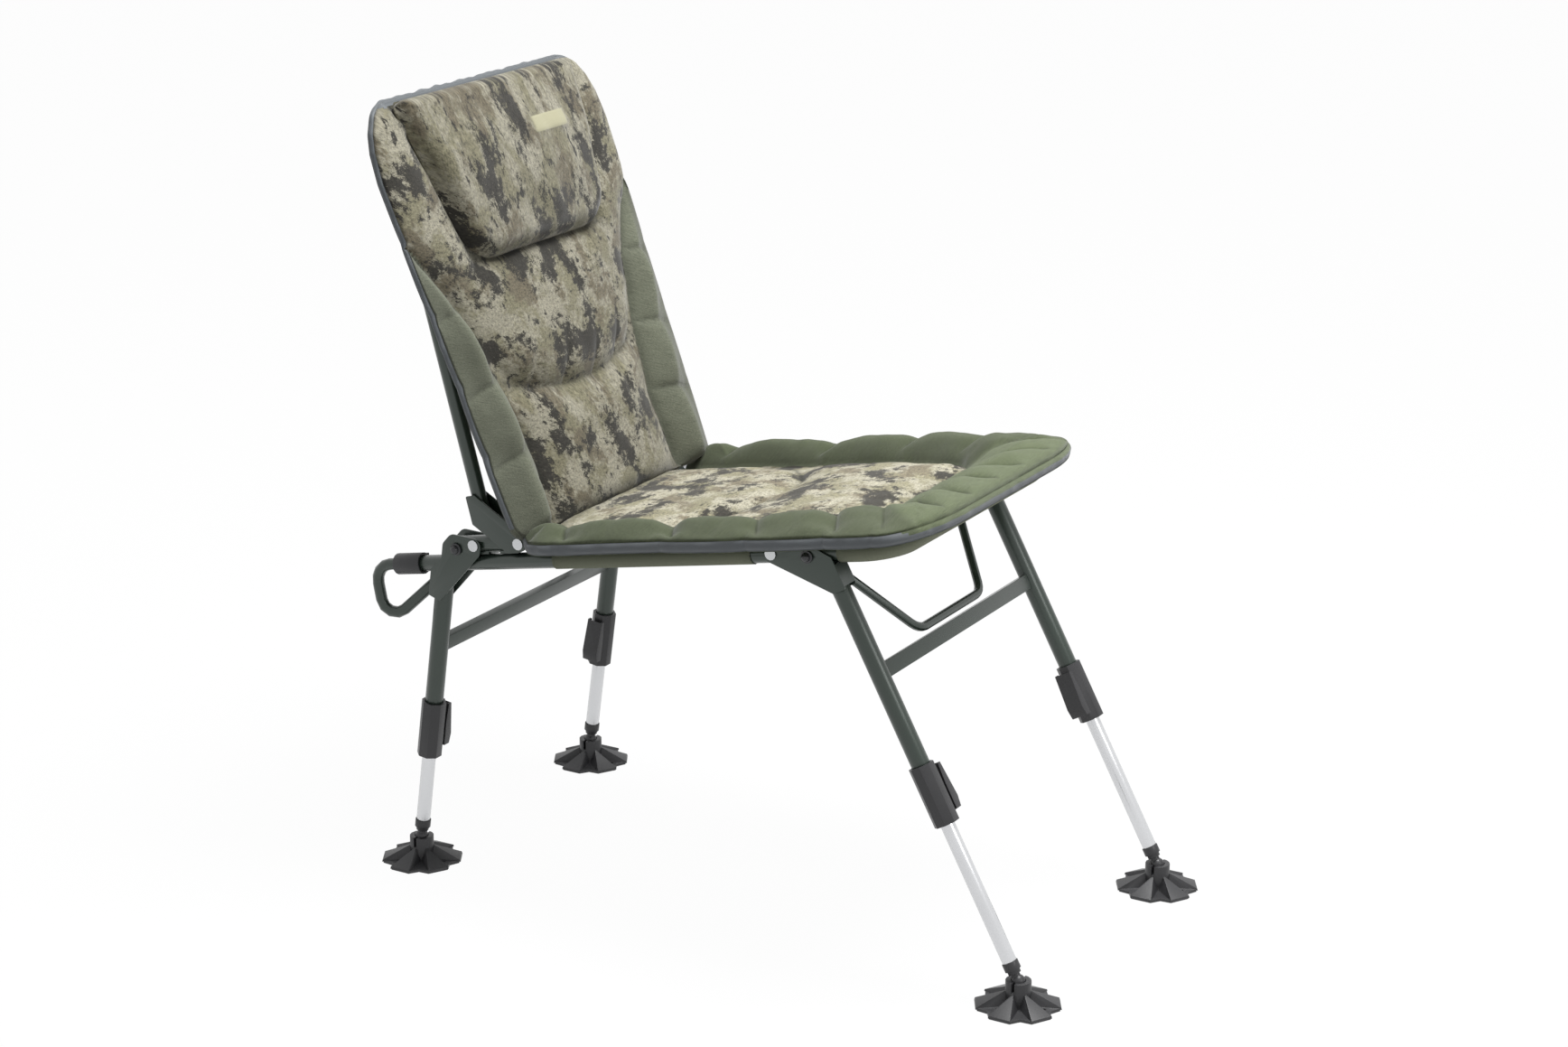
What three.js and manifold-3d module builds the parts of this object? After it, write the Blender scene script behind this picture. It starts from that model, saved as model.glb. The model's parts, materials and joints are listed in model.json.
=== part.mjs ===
// Carp fishing chair: folding tube frame, four telescopic legs on mud feet, padded seat and back.
// Millimetres, +Z up. The sitter faces -Y, so the sitter's right side is -X and the left side is +X.
import * as THREE from 'three';
import { mergeVertices } from 'three/addons/utils/BufferGeometryUtils.js';
import { ConvexGeometry } from 'three/addons/geometries/ConvexGeometry.js';
import Module from 'manifold-3d';

const wasm = await Module();
wasm.setup();

// Driving dimensions of the tubes
const seatTubeDiameter = 22;
const backTubeDiameter = 20;
const legTubeDiameter = 25;
const innerLegDiameter = 19;
const rearBarDiameter = 16;
const loopDiameter = 12;
const tubeWall = 1.5;
const clearance = 0.3;
const overrun = 1;
const sheetThickness = 2;

// Driving dimensions of the frame: stations run forward along the seat tubes from the rear leg pivot
const frameHalfWidth = 212;
const legPivotSpan = 457;
const hingeBarRise = 25.6;
const frontPivotRise = 4.2;
const backPivotStation = 71.7;
const clampStation = -119;
const clampLength = 43;
const seatFrontOverhang = 168;
const seatFrontStation = legPivotSpan + seatFrontOverhang;
const seatCornerRadius = 45;

// Driving dimensions of the legs: reach is from the pivot down to the foot's ball, along the leg
const rearLegLean = 7.8;
const frontLegLean = 28.6;
const rearLegOffset = 48.5;
const frontLegOffset = 65.3;
const rearLegReach = 452.5;
const frontLegReach = 612.3;
const ballHeight = 34;
const rearLockToBall = 126;
const frontLockToBall = 217;
const lockLength = 80;
const rearCrossbarDrop = 163;
const frontCrossbarDrop = 190;

// Driving dimensions of the backrest
const backLean = 15.4;
const backTubeOffset = 53;
const backTubeTop = 572;
const backTubeBottom = 32;
const backCornerRadius = 60;
const cushionLean = 6.45;

// Facet counts
const tubeSides = 16;
const boreSides = 12;
const smallSides = 8;
const bendSteps = 4;
const cushionRows = 16;
const seatCushionColumns = 14;
const backCushionColumns = 12;
const pillowColumns = 10;
const pillowRows = 8;

const paint = { color: 0x3f4a42, roughness: 0.45, metalness: 0.35 };
const plastic = { color: 0x202224, roughness: 0.55, metalness: 0 };
const bareMetal = { color: 0xd4d6d8, roughness: 0.3, metalness: 0.9 };
const steel = { color: 0xb9bdc2, roughness: 0.25, metalness: 0.95 };
const greenCloth = { color: 0x4a5238, roughness: 0.95, metalness: 0 };
const camoCloth = { color: 0x7d7866, roughness: 1, metalness: 0 };

const toRadians = THREE.MathUtils.degToRad;

// Solids and booleans

function toSolid(geometry) {
  const bare = geometry.clone();
  bare.deleteAttribute('normal');
  bare.deleteAttribute('uv');
  const merged = mergeVertices(bare);
  const vertProperties = new Float32Array(merged.attributes.position.array);
  const triVerts = new Uint32Array(merged.index.array);
  return new wasm.Manifold(new wasm.Mesh({ numProp: 3, vertProperties, triVerts }));
}

function toGeometry(solid) {
  const mesh = solid.getMesh();
  const geometry = new THREE.BufferGeometry();
  geometry.setAttribute('position', new THREE.BufferAttribute(new Float32Array(mesh.vertProperties), 3));
  geometry.setIndex(Array.from(mesh.triVerts));
  geometry.computeVertexNormals();
  return geometry;
}

function join(...geometries) {
  return toGeometry(geometries.map(toSolid).reduce((sum, next) => sum.add(next)));
}

function cut(base, ...tools) {
  return toGeometry(tools.map(toSolid).reduce((rest, tool) => rest.subtract(tool), toSolid(base)));
}

function moved(geometry, x, y, z) {
  return geometry.clone().translate(x, y, z);
}

function mirrored(geometry) {
  const copy = toGeometry(toSolid(geometry));
  copy.scale(-1, 1, 1);
  const index = copy.index;
  for (let i = 0; i < index.count; i += 3) {
    const second = index.getX(i + 1);
    index.setX(i + 1, index.getX(i + 2));
    index.setX(i + 2, second);
  }
  copy.computeVertexNormals();
  return copy;
}

// Basic shapes: rods and pipes stand along Z, or lie along X

function lathe(profile, sides) {
  const points = profile.map(([radius, height]) => new THREE.Vector2(radius, height));
  return new THREE.LatheGeometry(points, sides).rotateX(Math.PI / 2);
}

function rod(radius, low, high, sides = tubeSides) {
  return lathe([[0, low], [radius, low], [radius, high], [0, high]], sides);
}

function pipe(outer, inner, low, high, sides = tubeSides) {
  const profile = [[inner, low], [outer, low], [outer, high], [inner, high], [inner, low]];
  return lathe(profile, sides);
}

function alongX(geometry) {
  return geometry.clone().rotateY(Math.PI / 2);
}

function alongY(geometry) {
  return geometry.clone().rotateX(-Math.PI / 2);
}

function block(sizeX, sizeY, sizeZ, x, y, z) {
  return new THREE.BoxGeometry(sizeX, sizeY, sizeZ).translate(x, y, z);
}

// A flat sheet: its outline lies in the YZ plane and its thickness runs along +X
function sheet(outline, thickness, holes = []) {
  const shape = new THREE.Shape(outline);
  holes.forEach((hole) => shape.holes.push(new THREE.Path(hole)));
  const flat = new THREE.ExtrudeGeometry(shape, { depth: thickness, bevelEnabled: false });
  const basis = new THREE.Matrix4().makeBasis(
    new THREE.Vector3(0, 1, 0), new THREE.Vector3(0, 0, 1), new THREE.Vector3(1, 0, 0));
  return flat.applyMatrix4(basis);
}

function arc(centre, radius, from, sweep, steps) {
  return Array.from({ length: steps }, (_, i) => {
    const angle = from + sweep * (i / (steps - 1));
    return new THREE.Vector2(centre.x + radius * Math.cos(angle), centre.y + radius * Math.sin(angle));
  });
}

function roundHole(radius, y, z) {
  return arc(new THREE.Vector2(y, z), radius, 0, Math.PI * 2, boreSides + 1).slice(1);
}

// An outline through corner points [y, z, radius], with every corner rounded
function roundedOutline(corners) {
  const count = corners.length;
  return corners.flatMap(([y, z, radius], i) => {
    const here = new THREE.Vector2(y, z);
    const before = new THREE.Vector2(...corners[(i + count - 1) % count]);
    const after = new THREE.Vector2(...corners[(i + 1) % count]);
    const back = before.sub(here).normalize();
    const ahead = after.sub(here).normalize();
    const half = Math.acos(back.dot(ahead)) / 2;
    const start = here.clone().addScaledVector(back, radius / Math.tan(half));
    const inward = back.clone().add(ahead).normalize();
    const centre = here.clone().addScaledVector(inward, radius / Math.sin(half));
    const from = Math.atan2(start.y - centre.y, start.x - centre.x);
    const sweep = (Math.PI - 2 * half) * -Math.sign(back.cross(ahead));
    return arc(centre, radius, from, sweep, bendSteps);
  });
}

// Bent tubes

// A route of straight runs and round bends, sampled only where the tube bends
class BentRoute extends THREE.Curve {
  constructor(corners, bendRadii) {
    super();
    this.stations = [];
    this.tangents = [];
    const points = corners.map((corner) => new THREE.Vector3(...corner));
    const last = points.length - 1;
    this.add(points[0], points[1].clone().sub(points[0]));
    for (let i = 1; i < last; i += 1) {
      const back = points[i - 1].clone().sub(points[i]).normalize();
      const ahead = points[i + 1].clone().sub(points[i]).normalize();
      const half = back.angleTo(ahead) / 2;
      const radius = bendRadii[i - 1];
      const run = radius / Math.tan(half);
      const inward = back.clone().add(ahead).normalize();
      const centre = points[i].clone().addScaledVector(inward, radius / Math.sin(half));
      const start = points[i].clone().addScaledVector(back, run).sub(centre);
      const axis = back.clone().cross(ahead).normalize();
      const sweep = Math.PI - 2 * half;
      for (let step = 0; step <= bendSteps; step += 1) {
        const turn = -sweep * (step / bendSteps);
        const arm = start.clone().applyAxisAngle(axis, turn);
        this.add(arm.clone().add(centre), back.clone().negate().applyAxisAngle(axis, turn));
      }
    }
    this.add(points[last], points[last].clone().sub(points[last - 1]));
  }

  add(point, tangent) {
    this.stations.push(point);
    this.tangents.push(tangent.clone().normalize());
  }

  get steps() {
    return this.stations.length - 1;
  }

  getPoint(share) {
    return this.stations[Math.round(share * this.steps)].clone();
  }

  getPointAt(share) {
    return this.getPoint(share);
  }

  getTangentAt(share) {
    return this.tangents[Math.round(share * this.steps)].clone();
  }
}

function ringSection(outer, inner, sides) {
  const circle = (radius) => Array.from({ length: sides }, (_, i) => {
    const angle = (i / sides) * Math.PI * 2;
    return new THREE.Vector2(radius * Math.cos(angle), radius * Math.sin(angle));
  });
  const shape = new THREE.Shape(circle(outer));
  if (inner > 0) shape.holes.push(new THREE.Path(circle(inner).reverse()));
  return shape;
}

function bentTube(corners, bendRadii, outer, inner, sides = tubeSides) {
  const route = new BentRoute(corners, bendRadii);
  return new THREE.ExtrudeGeometry(ringSection(outer, inner, sides), { steps: route.steps, extrudePath: route });
}

// Scene helpers

const chair = new THREE.Group();

function addMesh(parent, name, geometry, finish) {
  const mesh = new THREE.Mesh(geometry, new THREE.MeshStandardMaterial(finish));
  mesh.name = name;
  parent.add(mesh);
  return mesh;
}

// A right piece, drawn round the right tube's axis with +X inward, and its mirror image on the left
function addPair(parent, name, geometry, finish) {
  addMesh(parent, `${name}_right`, moved(geometry, -frameHalfWidth, 0, 0), finish);
  addMesh(parent, `${name}_left`, moved(mirrored(geometry), frameHalfWidth, 0, 0), finish);
}

function addGroup(parent, x, y, z, leanX) {
  const group = new THREE.Group();
  group.position.set(x, y, z);
  group.rotation.x = leanX;
  parent.add(group);
  return group;
}

// The seat's height and tilt follow from the two leg pairs, which stand on one floor

function ballDrop(reach, offset, lean) {
  return reach * Math.cos(lean) - offset * Math.sin(lean);
}

const rearPivotHeight = ballHeight + ballDrop(rearLegReach, rearLegOffset, toRadians(rearLegLean));
const frontPivotHeight = ballHeight + ballDrop(frontLegReach, frontLegOffset, toRadians(frontLegLean));
const pivotStep = hingeBarRise - frontPivotRise;
const seatTilt = Math.asin((frontPivotHeight - rearPivotHeight) / Math.hypot(legPivotSpan, pivotStep))
  + Math.atan2(pivotStep, legPivotSpan);

// The seat group's origin is on the seat tubes' axis under the rear leg pivot. Its -Y runs forward.
const seat = addGroup(chair, 0, 0, 0, -seatTilt);

function seatPoint(station, rise) {
  const y = -station * Math.cos(seatTilt) + rise * Math.sin(seatTilt);
  const z = station * Math.sin(seatTilt) + rise * Math.cos(seatTilt);
  return [y, z];
}

const [rearPivotY, rearPivotZ] = seatPoint(0, hingeBarRise);
const [frontPivotY, frontPivotZ] = seatPoint(legPivotSpan, frontPivotRise);
const [backPivotY, backPivotZ] = seatPoint(backPivotStation, hingeBarRise);
const floorLevel = rearPivotZ - rearPivotHeight;

// Pivot pins and cheeks, shared by the leg and back brackets

const pinRadius = 4;
const rivetHeadRadius = 8;
const rivetDomeRadius = 5.5;
const rivetHeadThickness = 1.6;
const rivetDomeHeight = 3;
const earRadius = 11;
const frontEarRadius = 8.6;
const pinSides = 12;

function cheekInner(tubeDiameter) {
  return tubeDiameter / 2 + clearance;
}

function rivet(halfGrip) {
  const face = halfGrip + clearance;
  const profile = [
    [0, -face - rivetHeadThickness - rivetDomeHeight],
    [rivetDomeRadius, -face - rivetHeadThickness],
    [rivetHeadRadius, -face - rivetHeadThickness],
    [rivetHeadRadius, -face],
    [pinRadius, -face],
    [pinRadius, face],
    [rivetHeadRadius, face],
    [rivetHeadRadius, face + rivetHeadThickness],
    [rivetDomeRadius, face + rivetHeadThickness],
    [0, face + rivetHeadThickness + rivetDomeHeight],
  ];
  return alongX(lathe(profile, pinSides));
}

const crossHoleReach = legTubeDiameter;

function crossHole(y, z) {
  return alongX(rod(pinRadius + clearance, -crossHoleReach, crossHoleReach, pinSides)).translate(0, y, z);
}

// Seat frame, hinge bars and cross tubes

const seatTubeRadius = seatTubeDiameter / 2;
const seatTubeBore = seatTubeRadius - tubeWall;
const tubeRearStation = clampStation - clampLength / 2 + sheetThickness * 2 + clearance;

function seatFrame() {
  const tube = bentTube([
    [-frameHalfWidth, -tubeRearStation, 0],
    [-frameHalfWidth, -seatFrontStation, 0],
    [frameHalfWidth, -seatFrontStation, 0],
    [frameHalfWidth, -tubeRearStation, 0],
  ], [seatCornerRadius, seatCornerRadius], seatTubeRadius, seatTubeBore);
  const hole = crossHole(-legPivotSpan, frontPivotRise);
  return cut(tube, moved(hole, -frameHalfWidth, 0, 0), moved(hole, frameHalfWidth, 0, 0));
}

const hingeBarRearStation = -38;
const hingeBarOverhang = 16;
const hingeBarFrontStation = backPivotStation + hingeBarOverhang;
const weldLength = 30;
const weldWidth = 10;
const weldOffset = 24;

function hingeBar() {
  const length = hingeBarFrontStation - hingeBarRearStation;
  const tube = alongY(pipe(seatTubeRadius, seatTubeBore, -length / 2, length / 2));
  tube.translate(0, -(hingeBarRearStation + hingeBarFrontStation) / 2, hingeBarRise);
  const low = seatTubeRadius + clearance;
  const high = hingeBarRise - seatTubeRadius + tubeWall / 2;
  const middle = (hingeBarRearStation + hingeBarFrontStation) / 2;
  const welds = [-weldOffset, weldOffset].map((offset) => block(
    weldWidth, weldLength, high - low, 0, -(middle + offset), (low + high) / 2));
  return cut(join(tube, ...welds), crossHole(0, hingeBarRise), crossHole(-backPivotStation, hingeBarRise));
}

const crossTubeSetback = 77;
const crossTubeStation = legPivotSpan - crossTubeSetback;
const crossTubeRadius = 9;
const loopKneeInset = 27;
const loopKneeReach = 113;
const loopFootReach = 190;
const loopKneeHalfWidth = frameHalfWidth - loopKneeInset;
const loopKneeStation = crossTubeStation + loopKneeReach;
const loopKneeRise = -4;
const loopFootHalfWidth = 86;
const loopFootStation = crossTubeStation + loopFootReach;
const loopFootDrop = 137;
const loopBend = 28;
const loopSides = 10;

// The loop is welded to a cross tube between the seat tubes
function frontLoop() {
  const reach = frameHalfWidth - seatTubeRadius - clearance;
  const crossTube = alongX(pipe(crossTubeRadius, crossTubeRadius - tubeWall, -reach, reach, boreSides));
  const start = crossTubeStation + crossTubeRadius - tubeWall / 2;
  const loop = bentTube([
    [-loopKneeHalfWidth, -start, loopKneeRise],
    [-loopKneeHalfWidth, -loopKneeStation, loopKneeRise],
    [-loopFootHalfWidth, -loopFootStation, -loopFootDrop],
    [loopFootHalfWidth, -loopFootStation, -loopFootDrop],
    [loopKneeHalfWidth, -loopKneeStation, loopKneeRise],
    [loopKneeHalfWidth, -start, loopKneeRise],
  ], [loopBend, loopBend, loopBend, loopBend], loopDiameter / 2, loopDiameter / 2 - tubeWall, loopSides);
  return join(moved(crossTube, 0, -crossTubeStation, 0), loop);
}

// Rear bar: both ends slide in the seat tubes and the clamps hold them

const rearBarInsertStation = 30;
const rearBarHeelStation = -181;
const rearBarHeelDrop = 86;
const rearBarCrossStation = -82;
const rearBarCrossDrop = 18;
const rearBarCrossHalfWidth = 184;
const rearBarHeelBend = 26;
const rearBarToeBend = 20;

function rearBar() {
  const side = (sign) => [
    [sign * frameHalfWidth, -rearBarInsertStation, 0],
    [sign * frameHalfWidth, -rearBarHeelStation, 0],
    [sign * frameHalfWidth, -rearBarHeelStation, -rearBarHeelDrop],
    [sign * rearBarCrossHalfWidth, -rearBarCrossStation, -rearBarCrossDrop],
  ];
  const bends = [rearBarHeelBend, rearBarToeBend, rearBarToeBend];
  return bentTube([...side(-1), ...side(1).reverse()], [...bends, ...bends.toReversed()],
    rearBarDiameter / 2, rearBarDiameter / 2 - tubeWall, boreSides);
}

const clampRadius = 14.5;
const clampEarHalfWidth = 4;
const clampTipRadius = 4;
const clampLeverToe = 3.5;
const clampPinRadius = 1.6;
const clampLeverLength = 34;
const clampLeverThickness = 4;
const clampLeverHalfWidth = 7.5;
const clampPinRise = clampRadius + clampTipRadius;
const clampPinStation = clampStation + clampLeverHalfWidth;

// The clamp's ear and lever are drawn upward, then turned to face the middle of the chair
function rearClamp() {
  const shell = alongY(rod(clampRadius, -clampLength / 2, clampLength / 2));
  const tubeBore = alongY(rod(seatTubeRadius + clearance, -clampLength, clampLength / 2 - sheetThickness * 2));
  const barBore = alongY(rod(rearBarDiameter / 2 + clearance, -clampLength, clampLength));
  const pinY = clampStation - clampPinStation;
  const ear = block(clampEarHalfWidth * 2, clampTipRadius * 2, clampRadius, 0, pinY, clampPinRise - clampRadius / 2);
  const tip = alongX(rod(clampTipRadius, -clampEarHalfWidth, clampEarHalfWidth, boreSides));
  const pinHole = alongX(rod(clampPinRadius + clearance, -clampRadius, clampRadius, smallSides));
  const drilled = [pinHole, tip].map((geometry) => geometry.translate(0, pinY, clampPinRise));
  const clamp = cut(join(shell, ear, drilled[1]), tubeBore, barBore, drilled[0]);
  return clamp.translate(0, -clampStation, 0).rotateY(Math.PI / 2);
}

// The lever and its hinge pin are one piece
function clampLever() {
  const low = clampPinRise - clampLeverToe;
  const high = clampPinRise + clampTipRadius + clearance * 2 + clampLeverThickness;
  const front = -clampPinStation - clampLeverToe;
  const cheekLength = clampLeverToe * 2;
  const cheekThickness = clampLeverHalfWidth - clampEarHalfWidth - clearance;
  const cheek = block(cheekThickness, cheekLength, high - low,
    clampLeverHalfWidth - cheekThickness / 2, front + cheekLength / 2, (low + high) / 2);
  const top = block(clampLeverHalfWidth * 2, clampLeverLength, clampLeverThickness,
    0, front + clampLeverLength / 2, high - clampLeverThickness / 2);
  const pin = alongX(rod(clampPinRadius, -clampLeverHalfWidth, clampLeverHalfWidth, smallSides));
  pin.translate(0, -clampPinStation, clampPinRise);
  return join(top, cheek, mirrored(cheek), pin).rotateY(Math.PI / 2);
}

// Fabric sling under the seat cushion, sewn round the seat tubes

const slingThickness = 1.3;
const slingRearEnd = 120;
const slingRearNotch = 33;
const slingFrontNotch = 93;
const slingNotchInset = 22;
const slingRearSleeve = [slingRearEnd, legPivotSpan - slingRearNotch];
const slingFrontSleeveStart = legPivotSpan + slingFrontNotch;
const slingNotchHalfWidth = frameHalfWidth - slingNotchInset;

function seatSling() {
  const inner = seatTubeRadius + clearance;
  const outer = inner + slingThickness;
  const [start, end] = slingRearSleeve;
  const sleeve = alongY(pipe(outer, inner, -(end - start) / 2, (end - start) / 2)).translate(0, -(start + end) / 2, 0);
  const frontSleeve = bentTube([
    [-frameHalfWidth, -slingFrontSleeveStart, 0],
    [-frameHalfWidth, -seatFrontStation, 0],
    [frameHalfWidth, -seatFrontStation, 0],
    [frameHalfWidth, -slingFrontSleeveStart, 0],
  ], [seatCornerRadius, seatCornerRadius], outer, inner, tubeSides);
  const height = (inner + outer) / 2;
  const wide = (from, to, halfWidth) => block(halfWidth * 2, to - from, slingThickness, 0, -(from + to) / 2, height);
  const panels = [
    wide(start, end, frameHalfWidth),
    wide(end - overrun, seatFrontStation - seatTubeRadius, slingNotchHalfWidth),
    wide(slingFrontSleeveStart, seatFrontStation - seatCornerRadius, frameHalfWidth),
    wide(seatFrontStation - seatCornerRadius - overrun, seatFrontStation, frameHalfWidth - seatCornerRadius),
  ];
  const sewn = join(moved(sleeve, -frameHalfWidth, 0, 0), moved(sleeve, frameHalfWidth, 0, 0), frontSleeve, ...panels);
  const gap = alongX(rod(crossTubeRadius + clearance, -frameHalfWidth, frameHalfWidth, boreSides));
  return cut(sewn, moved(gap, 0, -crossTubeStation, 0));
}

// Padded forms: a crowned top, drawn-in sides and sewn channels, over a floor that may follow another form

function paddedForm({ columns, rows, outline, top, floor, bulge, inset }) {
  const positions = [];
  const triangles = [];
  const topIndex = (i, j) => i * (rows + 1) + j;
  const floorStart = (columns + 1) * (rows + 1);
  for (const [height, shrink] of [[top, 1], [floor, 1 - inset]]) {
    for (let i = 0; i <= columns; i += 1) {
      for (let j = 0; j <= rows; j += 1) {
        const [x, y] = outline((2 * i / columns - 1) * shrink, ((2 * j / rows - 1) * shrink + 1) / 2);
        positions.push(x, y, height(x, y, 2 * i / columns - 1, j / rows));
      }
    }
  }
  for (let i = 0; i < columns; i += 1) {
    for (let j = 0; j < rows; j += 1) {
      const [a, b, c, d] = [topIndex(i, j), topIndex(i + 1, j), topIndex(i + 1, j + 1), topIndex(i, j + 1)];
      triangles.push(a, b, c, a, c, d);
      const shift = floorStart;
      triangles.push(a + shift, c + shift, b + shift, a + shift, d + shift, c + shift);
    }
  }
  const rim = [];
  for (let i = 0; i < columns; i += 1) rim.push(topIndex(i, 0));
  for (let j = 0; j < rows; j += 1) rim.push(topIndex(columns, j));
  for (let i = columns; i > 0; i -= 1) rim.push(topIndex(i, rows));
  for (let j = rows; j > 0; j -= 1) rim.push(topIndex(0, j));
  const point = (index) => new THREE.Vector3().fromArray(positions, index * 3);
  const waistStart = positions.length / 3;
  rim.forEach((index, k) => {
    const before = point(rim[(k + rim.length - 1) % rim.length]);
    const after = point(rim[(k + 1) % rim.length]);
    const outward = after.sub(before).cross(new THREE.Vector3(0, 0, 1)).setZ(0).normalize();
    const upper = point(index);
    const middle = upper.clone().add(point(index + floorStart)).divideScalar(2);
    positions.push(upper.x + outward.x * bulge, upper.y + outward.y * bulge, middle.z);
  });
  rim.forEach((index, k) => {
    const next = (k + 1) % rim.length;
    const [upper, upperNext, waist, waistNext] = [index, rim[next], waistStart + k, waistStart + next];
    const [lower, lowerNext] = [index + floorStart, rim[next] + floorStart];
    triangles.push(upper, waist, waistNext, upper, waistNext, upperNext);
    triangles.push(waist, lower, lowerNext, waist, lowerNext, waistNext);
  });
  const geometry = new THREE.BufferGeometry();
  geometry.setAttribute('position', new THREE.Float32BufferAttribute(positions, 3));
  geometry.setIndex(triangles);
  return geometry;
}

// How far a rounded corner draws the side in, at a distance from the end
function cornerDraw(distance, radius) {
  if (distance >= radius) return 0;
  const share = (radius - Math.max(distance, 0)) / radius;
  return radius * (1 - Math.sqrt(1 - share * share));
}

function channel(distance, width, depth) {
  return -depth * Math.exp(-((distance / width) ** 2));
}

// Seat cushion: green border roll round a lower centre panel

const seatCushionRear = 95;
const seatCushionLip = 57;
const seatCushionOverhang = 40;
const seatCushionFront = seatFrontStation + seatCushionLip;
const seatCushionHalfWidth = frameHalfWidth + seatCushionOverhang;
const seatCushionCornerRadius = 60;
const seatCushionRearRadius = 20;
const seatCushionFloor = 13.4;
const seatCushionEdgeTop = 30;
const seatBorderCrest = 42;
const seatBorderWidth = 80;
const seatFrontBorderWidth = 165;
const seatRearBorderWidth = 45;
const seatPanelRise = 27;
const seatPanelCrown = 8;
const seamWidth = 9;
const seamDepth = 5;
const seatSeamStation = 330;
const cushionBulge = 3;
const cushionInsetShare = 0.02;
const seatPanelStartShare = 0.5;

function seatCushion() {
  const length = seatCushionFront - seatCushionRear;
  const outline = (u, v) => {
    const station = seatCushionFront - v * length;
    const draw = Math.max(cornerDraw(seatCushionFront - station, seatCushionCornerRadius),
      cornerDraw(station - seatCushionRear, seatCushionRearRadius));
    return [u * (seatCushionHalfWidth - draw), -station];
  };
  const top = (x, y, u) => {
    const station = -y;
    const side = Math.abs(u) === 1 ? 0 : seatCushionHalfWidth - Math.abs(x);
    const shares = [side / seatBorderWidth, (seatCushionFront - station) / seatFrontBorderWidth,
      (station - seatCushionRear) / seatRearBorderWidth];
    const share = Math.max(0, Math.min(...shares));
    const roll = Math.sin(Math.PI * Math.min(share, 1));
    const inside = THREE.MathUtils.smoothstep(share, seatPanelStartShare, 1);
    const border = THREE.MathUtils.lerp(seatCushionEdgeTop, seatPanelRise, inside);
    const crown = share > 1 ? seatPanelCrown * (1 - Math.exp(1 - share)) : 0;
    const seam = share > 1 ? channel(station - seatSeamStation, seamWidth, seamDepth) : 0;
    return border + roll * (seatBorderCrest - seatCushionEdgeTop) + crown + seam;
  };
  const floor = () => seatCushionFloor;
  return paddedForm({ columns: seatCushionColumns, rows: cushionRows, outline, top, floor, bulge: cushionBulge, inset: cushionInsetShare });
}

// Backrest: the group's origin is the back pivot, +Z runs up the back tubes and -Y faces the sitter

const back = addGroup(chair, 0, backPivotY, backPivotZ, -toRadians(backLean));

const backTubeRadius = backTubeDiameter / 2;

function backTubeRoute(bottom) {
  return [
    [-frameHalfWidth, backTubeOffset, bottom],
    [-frameHalfWidth, backTubeOffset, backTubeTop],
    [frameHalfWidth, backTubeOffset, backTubeTop],
    [frameHalfWidth, backTubeOffset, bottom],
  ];
}

function backFrame() {
  const bends = [backCornerRadius, backCornerRadius];
  return bentTube(backTubeRoute(backTubeBottom), bends, backTubeRadius, backTubeRadius - tubeWall);
}

// Back bracket: two cheeks round the hinge bar, joined by a web behind the back tube
const backBracketTop = 72;
const backBracketNotch = 34;
const bracketTopWidth = 14;
const backBracketToe = 19.8;

function backBracket() {
  const inner = cheekInner(seatTubeDiameter);
  const rearEdge = backTubeOffset + backTubeRadius + clearance + sheetThickness;
  const outline = () => roundedOutline([
    [-earRadius, -earRadius, earRadius - overrun],
    [backBracketToe, -earRadius, earRadius / 2],
    [rearEdge, backBracketNotch, sheetThickness],
    [rearEdge, backBracketTop, sheetThickness],
    [rearEdge - bracketTopWidth, backBracketTop, sheetThickness],
    [-earRadius, earRadius, earRadius / 2],
  ]);
  const cheek = sheet(outline(), sheetThickness, [roundHole(pinRadius + clearance, 0, 0)]);
  const web = block(inner * 2 + sheetThickness, sheetThickness, backBracketTop - backBracketNotch - sheetThickness * 2,
    0, rearEdge - sheetThickness / 2, (backBracketTop + backBracketNotch) / 2);
  return join(moved(cheek, inner, 0, 0), moved(cheek, -inner - sheetThickness, 0, 0), web);
}

const backCushionBottom = 0;
const backCushionTop = 578;
const backCushionRise = 18;
const backCushionOverhang = 28;
const backCushionHalfWidth = frameHalfWidth + backCushionOverhang;
const backCushionSwell = 18;
const backCushionCornerRadius = 48;
const backCushionFootRadius = 40;
const backCushionBack = -3;
const backCushionEdge = 22;
const backBorderRise = 26;
const backPanelRise = 40;
const backPanelHalfWidth = 155;
const backPanelShoulder = 250;
const backPanelFull = 390;
const backSeamHeight = 195;
const backSeamWidth = 13.5;
const backSeamDepth = 8;
const backSwellPower = 1.6;
const backBorderCrownShare = 0.4;
const crownPower = 4;
const pillowBottom = 357;
const pillowTop = 573;
const pillowBottomHalfWidth = 138;
const pillowTopHalfWidth = 190;
const pillowThickness = 34;
const pillowBulge = 1.8;
const pillowEdgeShare = 0.35;
const pocketClearance = 0.5;

function backHalfWidth(height) {
  const share = (height - backCushionBottom) / (backCushionTop - backCushionBottom);
  return backCushionHalfWidth + backCushionSwell * Math.sin(Math.PI * Math.min(share, 1) ** backSwellPower);
}

function backPanelHalf(height) {
  const full = backHalfWidth(height);
  const share = THREE.MathUtils.smoothstep(height, backPanelShoulder - backCushionCornerRadius, backPanelFull);
  return THREE.MathUtils.lerp(backPanelHalfWidth, full, share);
}

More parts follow.
